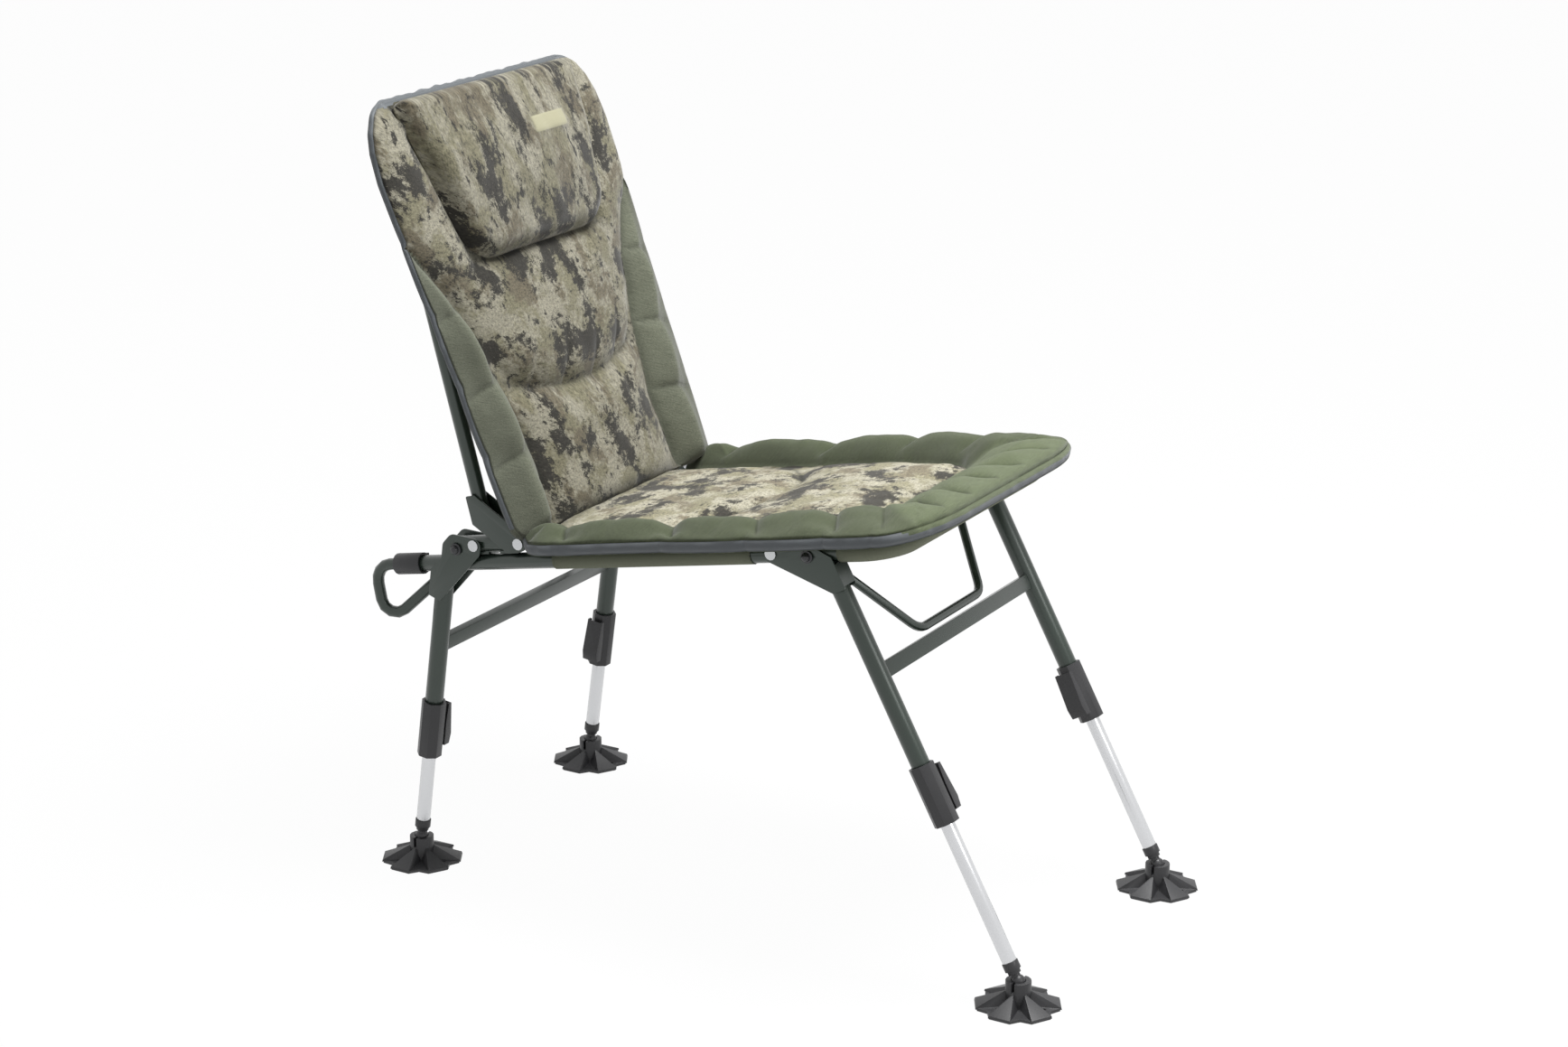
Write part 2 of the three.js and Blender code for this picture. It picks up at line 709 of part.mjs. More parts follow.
// Height of the back cushion's front face above its back face
function backFace(x, height) {
  const full = backHalfWidth(height);
  const panel = backPanelHalf(height);
  const side = Math.abs(x);
  const endShare = Math.min(1, Math.min(height - backCushionBottom, backCushionTop - height) / backCushionCornerRadius);
  const edge = Math.sqrt(Math.max(0, 1 - (1 - Math.max(endShare, 0)) ** 2));
  const inPanel = Math.sqrt(Math.max(0, 1 - (side / panel) ** crownPower));
  const inBorder = Math.sin(Math.PI * THREE.MathUtils.clamp((side - panel) / Math.max(full - panel, overrun), 0, 1));
  const rise = side < panel
    ? (backPanelRise - backBorderRise) * inPanel
    : (backPanelRise - backBorderRise) * inBorder * backBorderCrownShare;
  const seam = side < panel ? channel(height - backSeamHeight, backSeamWidth, backSeamDepth) : 0;
  return backCushionEdge + (backBorderRise - backCushionEdge + rise + seam) * edge;
}

const cushionTiltGroup = addGroup(back, 0, backCushionBack, backCushionRise, 0);
cushionTiltGroup.rotation.x = Math.PI / 2 - toRadians(cushionLean);

// In the cushion's own frame X is across, Y runs up the back and Z comes out towards the sitter
function backCushion() {
  const outline = (u, v) => {
    const height = backCushionBottom + v * (backCushionTop - backCushionBottom);
    const draw = Math.max(cornerDraw(backCushionTop - height, backCushionCornerRadius),
      cornerDraw(height - backCushionBottom, backCushionFootRadius));
    return [u * (backHalfWidth(height) - draw), height];
  };
  const top = (x, height) => backFace(x, height);
  const floor = () => 0;
  return paddedForm({ columns: backCushionColumns, rows: cushionRows, outline, top, floor, bulge: cushionBulge, inset: cushionInsetShare });
}

// The upper back tube lies in the cushion's rear pocket
function pocketedBackCushion() {
  const inner = backTubeRadius + pocketClearance;
  const bends = [backCornerRadius, backCornerRadius];
  const tool = bentTube(backTubeRoute(backTubeBottom), bends, inner, 0, boreSides);
  const panel = block(frameHalfWidth * 2, inner, backTubeTop, 0, backTubeOffset + inner / 2, backTubeTop / 2);
  const intoCushion = new THREE.Matrix4();
  cushionTiltGroup.updateMatrix();
  intoCushion.copy(cushionTiltGroup.matrix).invert();
  return cut(backCushion(), tool.applyMatrix4(intoCushion), panel.applyMatrix4(intoCushion));
}

function headPillow() {
  const outline = (u, v) => {
    const height = pillowBottom + v * (pillowTop - pillowBottom);
    const half = THREE.MathUtils.lerp(pillowBottomHalfWidth, pillowTopHalfWidth, v);
    const draw = Math.max(cornerDraw(pillowTop - height, seatCushionRearRadius),
      cornerDraw(height - pillowBottom, seatCushionRearRadius));
    return [u * (half - draw), height];
  };
  const floor = (x, height) => backFace(x, height) + pocketClearance * 2;
  const top = (x, height, u, v) => {
    const across = Math.sqrt(Math.max(0, 1 - u ** crownPower));
    const along = Math.sqrt(Math.max(0, 1 - (2 * v - 1) ** crownPower));
    return floor(x, height) + pillowThickness * THREE.MathUtils.lerp(pillowEdgeShare, 1, across * along);
  };
  return paddedForm({ columns: pillowColumns, rows: pillowRows, outline, top, floor, bulge: pillowBulge, inset: 0 });
}

// Legs

const legTubeRadius = legTubeDiameter / 2;
const innerLegRadius = innerLegDiameter / 2;
const crossbarHeight = 20;
const crossbarDepth = 12;
const legTubeInset = 20;
const lockHalfWidth = 15.6;
const lockSides = 8;
const lockCollarShare = 0.28;
const lockBossHalfWidth = 8.4;
const lockBossReach = 24;
const lockTipRadius = 4;
const lockLeverToe = 3;
const lockPinRadius = 2;
const lockPinInset = 14;
const lockLeverHalfWidth = 12;
const lockLeverWall = 3;
const lockLeverLength = 62;
const lockLeverTipDepth = 9;
const lockLeverStepShare = 0.55;
const innerLegInsert = 100;
const ferruleRadius = 10.8;
const ferruleHeight = 11;
const ferruleNeckRadius = 8.5;
const ferruleNeckHeight = 5;
const stemRadius = 6;
const ballRadius = 9.4;
const ballRows = 8;
const socketRadius = (ballRadius + clearance) / (Math.cos(Math.PI / boreSides) * Math.cos(Math.PI / ballRows / 2));

// Octagonal lock sleeve, gripping the leg tube above and the inner leg below; its boss faces +X
function lockSleeve() {
  const halfSide = Math.PI / lockSides;
  const body = rod(lockHalfWidth / Math.cos(halfSide), 0, lockLength, lockSides).rotateZ(halfSide);
  const collar = lockLength * lockCollarShare;
  const pinX = lockBossReach - lockTipRadius;
  const boss = block(pinX, lockBossHalfWidth * 2, lockTipRadius * 2, pinX / 2, 0, lockPinInset);
  const tip = alongY(rod(lockTipRadius, -lockBossHalfWidth, lockBossHalfWidth, boreSides));
  const tubeBore = rod(legTubeRadius + clearance, collar, lockLength + overrun);
  const innerBore = rod(innerLegRadius + clearance, -overrun, lockLength);
  const pinHole = alongY(rod(lockPinRadius + clearance, -lockHalfWidth, lockHalfWidth, smallSides));
  pinHole.translate(pinX, 0, lockPinInset);
  return cut(join(body, boss, tip.translate(pinX, 0, lockPinInset)), tubeBore, innerBore, pinHole);
}

// Cam lever with its hinge pin: a channel with two walls beside the boss and a thumb plate outside it
function lockLever() {
  const pinX = lockBossReach - lockTipRadius;
  const low = lockPinInset - lockLeverToe;
  const high = low + lockLeverLength;
  const near = lockHalfWidth + clearance * 2;
  const far = lockBossReach + clearance * 2 + lockLeverWall;
  const shape = (from, to) => new THREE.Shape([
    new THREE.Vector2(from, low),
    new THREE.Vector2(to, low),
    new THREE.Vector2(to + lockLeverWall, low + lockPinInset),
    new THREE.Vector2(to - lockLeverWall, high),
    new THREE.Vector2(Math.max(from, to - lockLeverTipDepth), high),
    new THREE.Vector2(from, low + lockLeverLength * lockLeverStepShare),
  ]);
  const profile = (from, to, halfWidth) => {
    const solid = new THREE.ExtrudeGeometry(shape(from, to), { depth: halfWidth * 2, bevelEnabled: false });
    return solid.rotateX(Math.PI / 2).translate(0, halfWidth, 0);
  };
  const full = profile(near, far, lockLeverHalfWidth);
  const hollow = block(far - lockLeverWall, lockLeverHalfWidth * 2 - lockLeverWall * 2, lockLeverLength * 2,
    (far - lockLeverWall) / 2, 0, low + lockLeverLength / 2);
  const pin = alongY(rod(lockPinRadius, -lockLeverHalfWidth, lockLeverHalfWidth, smallSides));
  return join(cut(full, hollow), pin.translate(pinX, 0, lockPinInset));
}

// The next three are drawn with the foot's ball centre as their origin
function innerLeg(lockToBall) {
  const top = lockToBall + lockLength * lockCollarShare + innerLegInsert;
  return pipe(innerLegRadius, innerLegRadius - tubeWall, ferruleTop - ferruleHeight / 2, top);
}

const ferruleTop = 27;

function ferrule() {
  const shoulder = ferruleTop - ferruleHeight;
  const cup = rod(ferruleRadius, shoulder, ferruleTop);
  const neck = rod(ferruleNeckRadius, shoulder - ferruleNeckHeight, shoulder + overrun);
  const legBore = pipe(innerLegRadius + clearance, innerLegRadius - tubeWall - clearance,
    ferruleTop - ferruleHeight / 2 - clearance, ferruleTop + overrun);
  const stemBore = rod(stemRadius + clearance, shoulder - ferruleHeight, ferruleTop + overrun, boreSides);
  return cut(join(cup, neck), legBore, stemBore);
}

function ballStem() {
  const ball = new THREE.SphereGeometry(ballRadius, boreSides, ballRows).rotateX(Math.PI / 2);
  return join(ball, rod(stemRadius, 0, ferruleTop - clearance, boreSides));
}

// Mud foot: plate with six raised ribs and a split socket round the ball; origin at the ball centre
const footRadius = 54;
const footValleyRadius = 46;
const footPlate = 4;
const footRibHalfWidth = 15;
const footRibTop = 23;
const footHubRadius = 16.5;
const footHubTop = 36;
const footSlot = 4;
const footRibs = 6;
const footPegHole = 2.6;
const footPegReach = 36;
const footPegValleys = [1, 4];
const footRibShoulder = 13.2;

function footPad() {
  const halfTurn = Math.atan2(footRibHalfWidth, footRadius);
  const outline = new THREE.Shape();
  const rimPoint = (angle, radius) => [radius * Math.cos(angle), radius * Math.sin(angle)];
  for (let i = 0; i < footRibs; i += 1) {
    const angle = (i / footRibs) * Math.PI * 2;
    const corners = [
      rimPoint(angle - halfTurn, footRadius),
      rimPoint(angle + halfTurn, footRadius),
      rimPoint(angle + Math.PI / footRibs, footValleyRadius),
    ];
    corners.forEach(([x, y], k) => (i + k === 0 ? outline.moveTo(x, y) : outline.lineTo(x, y)));
  }
  const plate = new THREE.ExtrudeGeometry(outline, { depth: footPlate, bevelEnabled: false });
  const ribPoints = [];
  for (const side of [-1, 1]) {
    ribPoints.push(new THREE.Vector3(footRadius, side * footRibHalfWidth, footPlate / 2));
    ribPoints.push(new THREE.Vector3(footRadius - overrun, side * footRibHalfWidth, footPlate + overrun));
    ribPoints.push(new THREE.Vector3(footHubRadius / 2, side * footHubRadius / 2, footPlate / 2));
  }
  ribPoints.push(new THREE.Vector3(footRibShoulder, 0, footRibTop));
  const rib = new ConvexGeometry(ribPoints);
  const ribs = Array.from({ length: footRibs }, (_, i) => rib.clone().rotateZ((i / footRibs) * Math.PI * 2));
  const hub = rod(footHubRadius, footPlate / 2, footHubTop);
  const ball = new THREE.SphereGeometry(socketRadius, boreSides, ballRows);
  const socket = ball.rotateX(Math.PI / 2).translate(0, 0, ballHeight);
  const slot = block(footRadius, footSlot, footHubTop, 0, 0, footHubTop / 2 + footRibTop);
  const holes = footPegValleys.map((valley) => {
    const angle = (2 * valley + 1) * (Math.PI / footRibs);
    return rod(footPegHole, -overrun, footPlate + overrun, smallSides)
      .translate(footPegReach * Math.cos(angle), footPegReach * Math.sin(angle), 0);
  });
  return cut(join(plate, hub, ...ribs), socket, slot, ...holes).translate(0, 0, -ballHeight);
}

// Leg brackets: cheeks from the pivot down past the leg's top, with a web round the tube's outer side
const rearBracketBottom = -94;
const rearBracketWebTop = -52;
const rearBracketKnee = -33;
const frontBracketBottom = -76;
const rearLegTopDrop = 60;
const frontLegTopDrop = 43;
const frontBracketWebTop = -33;
const frontBracketShoulder = 49;
const frontBracketKneeReach = 67.5;
const frontBracketKneeRise = 4;

function rearLegBracket() {
  const inner = cheekInner(legTubeDiameter);
  const rearEdge = rearLegOffset + legTubeRadius + clearance + sheetThickness;
  const outline = () => roundedOutline([
    [-earRadius, earRadius, earRadius - overrun],
    [rearLegOffset - earRadius, earRadius / 2, earRadius],
    [rearLegOffset, -earRadius, earRadius],
    [rearLegOffset, rearBracketKnee, earRadius / 2],
    [rearEdge, rearBracketWebTop, earRadius / 2],
    [rearEdge, rearBracketBottom + sheetThickness * 2, sheetThickness],
    [rearLegOffset - sheetThickness * 2, rearBracketBottom, sheetThickness * 2],
    [-earRadius, -earRadius, earRadius - overrun],
  ]);
  const holes = [roundHole(pinRadius + clearance, 0, 0),
    roundHole(buttonPinRadius + clearance, rearButtonOffset, rearButtonRise)];
  const cheek = sheet(outline(), sheetThickness, holes);
  const webTop = -rearLegTopDrop - sheetThickness;
  const webLow = rearBracketBottom + sheetThickness * 3;
  const web = block(inner * 2 + sheetThickness, sheetThickness, webTop - webLow,
    0, rearEdge - sheetThickness / 2, (webTop + webLow) / 2);
  return join(moved(cheek, inner, 0, 0), moved(cheek, -inner - sheetThickness, 0, 0), web);
}

// A point of the seat's frame, measured from the front pivot, in the front legs' own frame
function fromSeat(forward, rise) {
  const turn = toRadians(frontLegLean) - seatTilt;
  return [
    -forward * Math.cos(turn) - rise * Math.sin(turn),
    -forward * Math.sin(turn) + rise * Math.cos(turn),
  ];
}

function frontLegBracket() {
  const inner = cheekInner(legTubeDiameter);
  const frontEdge = -frontLegOffset - legTubeRadius - clearance - sheetThickness;
  const outline = () => roundedOutline([
    [...fromSeat(-frontEarRadius, frontEarRadius), frontEarRadius - overrun],
    [...fromSeat(-frontEarRadius, -frontEarRadius), frontEarRadius / 2],
    [-frontLegOffset + sheetThickness * 2, frontBracketBottom, sheetThickness],
    [frontEdge, frontBracketBottom, sheetThickness],
    [frontEdge, frontBracketWebTop, sheetThickness],
    [...fromSeat(frontBracketKneeReach, frontBracketKneeRise), frontEarRadius],
    [...fromSeat(frontBracketShoulder, frontEarRadius), frontEarRadius],
  ]);
  const holes = [roundHole(pinRadius + clearance, 0, 0),
    roundHole(buttonPinRadius + clearance, ...fromSeat(frontButtonReach, frontButtonRise))];
  const cheek = sheet(outline(), sheetThickness, holes);
  const webTop = -frontLegTopDrop;
  const webLow = frontBracketBottom + sheetThickness * 2;
  const web = block(inner * 2 + sheetThickness, sheetThickness, webTop - webLow,
    0, frontEdge + sheetThickness / 2, (webTop + webLow) / 2);
  return join(moved(cheek, inner, 0, 0), moved(cheek, -inner - sheetThickness, 0, 0), web);
}

// Spring buttons that lock the open legs: a domed knob outside and a pin through the outer cheek
const buttonPinRadius = 3;
const buttonKnobRadius = 8.5;
const buttonDomeRadius = 6;
const buttonBase = 2.5;
const buttonHeight = 10;
const rearButtonOffset = 26;
const rearButtonRise = -12.5;
const frontButtonReach = 52.5;
const frontButtonRise = -4.5;

function lockButton() {
  const cheekFace = cheekInner(legTubeDiameter) + sheetThickness;
  const start = cheekInner(legTubeDiameter) + clearance;
  const face = cheekFace + clearance;
  const domeStart = face + buttonHeight - buttonDomeRadius;
  const domePoint = (turn) => [buttonDomeRadius * Math.cos(turn), domeStart + buttonDomeRadius * Math.sin(turn)];
  return alongX(lathe([
    [0, start],
    [buttonPinRadius, start],
    [buttonPinRadius, face],
    [buttonKnobRadius, face],
    [buttonKnobRadius, face + buttonBase],
    [buttonDomeRadius, face + buttonBase],
    [buttonDomeRadius, domeStart],
    domePoint(Math.PI / 6),
    domePoint(Math.PI / 3),
    [0, face + buttonHeight],
  ], pinSides));
}

// A mirrored pair of legs hung from one pivot line, joined by a crossbar
function addLegPair(options) {
  const { name, y, z, lean, offset, reach, topDrop, lockToBall, crossbarDrop, bracket, button } = options;
  const legs = addGroup(chair, 0, y, z, lean);
  const lockBottom = -reach + lockToBall;
  const tubeLow = lockBottom + lockLength * lockCollarShare + clearance;
  const tube = pipe(legTubeRadius, legTubeRadius - tubeWall, tubeLow, -topDrop);
  const knob = mirrored(lockButton());
  addPair(legs, `${name}_leg_tube`, moved(tube, 0, offset, 0), paint);
  addPair(legs, `${name}_leg_bracket`, bracket(), paint);
  addPair(legs, `${name}_leg_rivet`, rivet(cheekInner(legTubeDiameter) + sheetThickness), steel);
  addPair(legs, `${name}_lock_button`, moved(knob, 0, ...button), plastic);
  addPair(legs, `${name}_lock_sleeve`, moved(lockSleeve(), 0, offset, lockBottom), plastic);
  addPair(legs, `${name}_lock_lever`, moved(lockLever(), 0, offset, lockBottom), plastic);
  addPair(legs, `${name}_inner_leg`, moved(innerLeg(lockToBall), 0, offset, -reach), bareMetal);
  addPair(legs, `${name}_ferrule`, moved(ferrule(), 0, offset, -reach), plastic);
  addPair(legs, `${name}_ball_stem`, moved(ballStem(), 0, offset, -reach), plastic);
  addPair(addGroup(legs, 0, offset, -reach, -lean), `${name}_foot_pad`, footPad(), plastic);
  const barReach = frameHalfWidth - legTubeRadius - clearance;
  const crossbar = block(barReach * 2, crossbarDepth, crossbarHeight, 0, offset, -crossbarDrop);
  addMesh(legs, `${name}_crossbar`, crossbar, paint);
}

// Seat pieces
addMesh(seat, 'seat_frame', seatFrame(), paint);
addPair(seat, 'hinge_bar', hingeBar(), paint);
addMesh(seat, 'front_loop', frontLoop(), paint);
addMesh(seat, 'rear_bar', rearBar(), paint);
addPair(seat, 'rear_clamp', rearClamp(), plastic);
addPair(seat, 'rear_clamp_lever', clampLever(), plastic);
addMesh(seat, 'seat_sling', seatSling(), greenCloth);
addMesh(seat, 'seat_cushion', seatCushion(), greenCloth);

// Back pieces
addMesh(back, 'back_frame', backFrame(), paint);
addPair(back, 'back_bracket', backBracket(), paint);
addPair(back, 'back_rivet', rivet(cheekInner(seatTubeDiameter) + sheetThickness), steel);
addMesh(cushionTiltGroup, 'back_cushion', pocketedBackCushion(), camoCloth);
addMesh(cushionTiltGroup, 'head_pillow', headPillow(), camoCloth);

// Leg pairs
addLegPair({
  name: 'rear',
  y: rearPivotY,
  z: rearPivotZ,
  lean: toRadians(rearLegLean),
  offset: rearLegOffset,
  reach: rearLegReach,
  topDrop: rearLegTopDrop,
  lockToBall: rearLockToBall,
  crossbarDrop: rearCrossbarDrop,
  bracket: rearLegBracket,
  button: [rearButtonOffset, rearButtonRise],
});

addLegPair({
  name: 'front',
  y: frontPivotY,
  z: frontPivotZ,
  lean: -toRadians(frontLegLean),
  offset: -frontLegOffset,
  reach: frontLegReach,
  topDrop: frontLegTopDrop,
  lockToBall: frontLockToBall,
  crossbarDrop: frontCrossbarDrop,
  bracket: frontLegBracket,
  button: fromSeat(frontButtonReach, frontButtonRise),
});

// The origin is on the floor, under the middle of the chair
chair.position.z = -floorLevel;
const extent = new THREE.Box3().setFromObject(chair, true);
chair.position.y = -(extent.min.y + extent.max.y) / 2;

export default chair;
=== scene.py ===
"""The looks of a carp fishing chair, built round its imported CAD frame.

Sizes are in metres. The sitter faces -Y, and the sitter's left side is +X.
"""

import json
import math

import bmesh
import bpy
import numpy as np
from mathutils import Matrix, Vector, noise


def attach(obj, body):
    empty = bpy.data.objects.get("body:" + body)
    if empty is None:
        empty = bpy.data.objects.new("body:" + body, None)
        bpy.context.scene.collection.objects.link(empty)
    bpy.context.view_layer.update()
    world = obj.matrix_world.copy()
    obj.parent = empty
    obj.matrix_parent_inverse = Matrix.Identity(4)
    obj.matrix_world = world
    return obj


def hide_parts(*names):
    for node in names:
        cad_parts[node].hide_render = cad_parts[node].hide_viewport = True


bl_info = {
    "name": "Carp fishing chair",
    "version": (1, 0, 0),
    "blender": (4, 5, 0),
    "location": "3D View > Sidebar > Chair",
    "description": "Builds the padded covers, cloth and finishes of a carp fishing chair",
    "category": "Add Mesh",
}

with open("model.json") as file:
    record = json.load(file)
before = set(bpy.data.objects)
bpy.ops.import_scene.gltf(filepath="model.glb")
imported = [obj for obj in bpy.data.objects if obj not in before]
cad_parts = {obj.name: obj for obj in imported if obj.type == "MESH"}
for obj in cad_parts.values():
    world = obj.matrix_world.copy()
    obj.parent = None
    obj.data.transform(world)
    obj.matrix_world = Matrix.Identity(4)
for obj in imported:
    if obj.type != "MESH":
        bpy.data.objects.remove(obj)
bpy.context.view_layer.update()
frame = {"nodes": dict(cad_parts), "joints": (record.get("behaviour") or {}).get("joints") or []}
JOINTS = {joint["name"]: Vector(joint["pos_m"]) for joint in frame["joints"] if "pos_m" in joint}

# Places: the seat's own frame has X across, -Y forward along the seat tubes and Z out of the seat
HINGE_RISE = 0.0256
PIVOT_SPAN = 0.457
FRONT_PIVOT_DROP = 0.0214
BACK_LEAN = math.radians(15.4)
CUSHION_LEAN = math.radians(6.45)
CUSHION_OFFSET = Vector((0, -0.003, 0.018))
TUBE_HALF_WIDTH = 0.212
SEAT_TUBE_RADIUS = 0.011


def seat_place():
    """The seat frame: its origin is on the seat tubes' axis, under the rear leg pivot."""
    rear, front = JOINTS["rear_legs_fold"], JOINTS["front_legs_fold"]
    rise = front.z - rear.z
    run = rear.y - front.y
    tilt = math.atan2(rise, run) + math.atan2(FRONT_PIVOT_DROP, PIVOT_SPAN)
    turn = Matrix.Rotation(-tilt, 4, "X")
    origin = Vector((0, rear.y, rear.z)) - turn.to_3x3() @ Vector((0, 0, HINGE_RISE))
    return Matrix.Translation(origin) @ turn


def back_place():
    """The back cushion's frame: X across, Y up the back and Z out towards the sitter."""
    pivot = JOINTS["back_fold"]
    lean = Matrix.Translation((0, pivot.y, pivot.z)) @ Matrix.Rotation(-BACK_LEAN, 4, "X")
    tip = Matrix.Translation(CUSHION_OFFSET) @ Matrix.Rotation(math.pi / 2 - CUSHION_LEAN, 4, "X")
    return lean @ tip


SEAT = seat_place()
BACK = back_place()

# Small helpers for numbers

CHART_TOP = 255
DISPLAY_GAMMA = 2.2
WHITE = (1, 1, 1, 1)
TINY = 1e-6


def linear(red, green, blue):
    """A colour as a paint chart gives it, 0 to 255, in the renderer's own scale."""
    return tuple((part / CHART_TOP) ** DISPLAY_GAMMA for part in (red, green, blue)) + (1.0,)


def grey(shade):
    return (shade, shade, shade, 1)


def smooth(value, low, high):
    """0 below low, 1 above high, and smooth between."""
    share = np.clip((value - low) / (high - low), 0, 1)
    return share * share * (3 - 2 * share)


def mix(low, high, share):
    return low + (high - low) * share


def bump(distance, width):
    """A soft ridge or valley, one high, at a distance from its line."""
    return np.exp(-((distance / width) ** 2))


def fade(distance, reach):
    """1 up to a line, dying away behind it."""
    return np.exp(-np.maximum(distance, 0) / reach)


def quarter_round(share):
    """Rises from 0 to 1 as a quarter of a circle does."""
    return np.sqrt(1 - (1 - np.clip(share, 0, 1)) ** 2)


def uneven(x, y, size, seed):
    """Smooth noise from -1 to 1 at each place; size is the width of one wave."""
    offset = Vector((seed, 2 * seed, 3 * seed))
    return np.array([noise.noise(Vector((px, py, 0)) / size + offset) for px, py in zip(x, y)])


# Settings that a user would change


def colour_setting(name, description, red, green, blue):
    """A colour property; its default is given as a paint chart gives it."""
    return bpy.props.FloatVectorProperty(
        name=name,
        description=description,
        subtype="COLOR",
        size=4,
        min=0,
        max=1,
        default=linear(red, green, blue),
    )


def plain_setting(name, description, default, unit="NONE"):
    return bpy.props.FloatProperty(name=name, description=description, default=default, unit=unit)


class ChairColours(bpy.types.PropertyGroup):
    green: colour_setting("Green cloth", "Woven cloth of the seat's border rolls", 95, 103, 79)
    wing_green: colour_setting("Back green cloth", "Cloth of the back's wings and the sling", 101, 104, 90)
    camo_light: colour_setting("Camo beige", "Lightest colour of the printed fleece", 158, 154, 137)
    camo_middle: colour_setting("Camo khaki", "Middle colour of the printed fleece", 130, 126, 104)
    camo_brown: colour_setting("Camo taupe", "Taupe patches of the printed fleece", 112, 105, 88)
    camo_dark: colour_setting("Camo dark", "Darkest blotches of the printed fleece", 58, 56, 51)
    # Painted shade: the colour blended into the covers at seams and tucks, and on faces that the light
    # reaches weakly
    fold_shade: colour_setting("Fold shade", "Shade in the depth of seams and tucks", 30, 31, 25)
    binding: colour_setting("Binding tape", "Satin tape sewn round the cushions", 90, 94, 97)
    tab: colour_setting("Pillow tab", "Plain tab sewn to the head pillow", 150, 147, 122)
    paint: colour_setting("Tube paint", "Satin paint of the steel tubes", 47, 58, 51)
    aluminium: colour_setting("Aluminium", "Bare metal of the inner legs", 214, 215, 217)
    plating: colour_setting("Plating", "Plated steel of the rivets", 196, 198, 200)
    nylon: colour_setting("Black nylon", "Moulded locks, clamps and feet", 44, 44, 46)
    button: colour_setting("Lock button", "Glossy buttons of the leg locks", 30, 30, 32)


class ChairPadding(bpy.types.PropertyGroup):
    seat_rear: plain_setting("Seat rear", "Where the seat pad starts", 0.072, "LENGTH")
    seat_front: plain_setting("Seat front", "Where the seat pad ends", 0.682, "LENGTH")
    seat_half_width: plain_setting("Seat half width", "From the middle to the side", 0.252, "LENGTH")
    seat_corner: plain_setting("Seat corner", "Width of the oval front corners", 0.13, "LENGTH")
    front_border: plain_setting("Front border", "Width of the green roll in front", 0.125, "LENGTH")
    roll_crest: plain_setting("Roll crest", "Top of the green roll", 0.055, "LENGTH")
    pad_floor: plain_setting("Pad floor", "Underside of the seat pad", 0.0134, "LENGTH")
    pucker_depth: plain_setting("Pucker depth", "Depth of the tucks in the green rolls", 0.0105, "LENGTH")
    grid_size: plain_setting("Grid size", "Width of one face of a pad", 0.0029, "LENGTH")


class ChairStage(bpy.types.PropertyGroup):
    lens: plain_setting("Lens", "Focal length for a 36 mm frame, in millimetres", 77.82)
    world_light: plain_setting("Room light", "Brightness of the white room", 0.27)
    key_power: plain_setting("Key light", "Power of the large lamp above", 142, "POWER")
    fill_power: plain_setting("Fill light", "Power of the lamp in front", 20, "POWER")


# Material building

WEAVE_DEPTH = 0.0006
FLEECE_DEPTH = 0.0008
ORANGE_PEEL_DEPTH = 0.0003
DRAW_LINE_DEPTH = 0.0001
SPARK_GRAIN_DEPTH = 0.0003
PANEL_SEAM_BLUR = 0.0006
CLOTH_ROUGHNESS = 0.93
FLEECE_ROUGHNESS = 0.95
TAPE_ROUGHNESS = 0.5
TAB_ROUGHNESS = 0.6
TAB_HEIGHT = 0.9
# How far the painted shade darkens a cover towards the fold shade colour
FOLD_SHADE_SHARE = 0.72
# Painted light on the one camo print: the seat's copy is brightened as if lit from above, and the back's and
# the pillow's copies are darkened as if in shade
SEAT_PAINTED_LIGHT = 1.15
BACK_PAINTED_SHADE = 0.70
PILLOW_PAINTED_SHADE = 0.62
PILLOW_PRINT_SCALE = (1.15, 0.6, 1)
PILLOW_PRINT_PLACE = (0.31, 0.17, 0)
NOISE_DETAIL = 3.0
NOISE_MIDDLE = 0.5

# Patches of the print, in the order of printing: colour, scale, place, length share and soft edge
CAMO_PATCHES = (
    ("camo_middle", 24.0, (3, 1, 0), 0.8, (0.42, 0.58)),
    ("camo_brown", 20.0, (7, 5, 0), 0.8, (0.52, 0.62)),
    ("camo_dark", 60.0, (5, 2, 0), 0.8, (0.62, 0.68)),
    ("camo_dark", 18.0, (2, 7, 0), 0.85, (0.535, 0.58)),
)


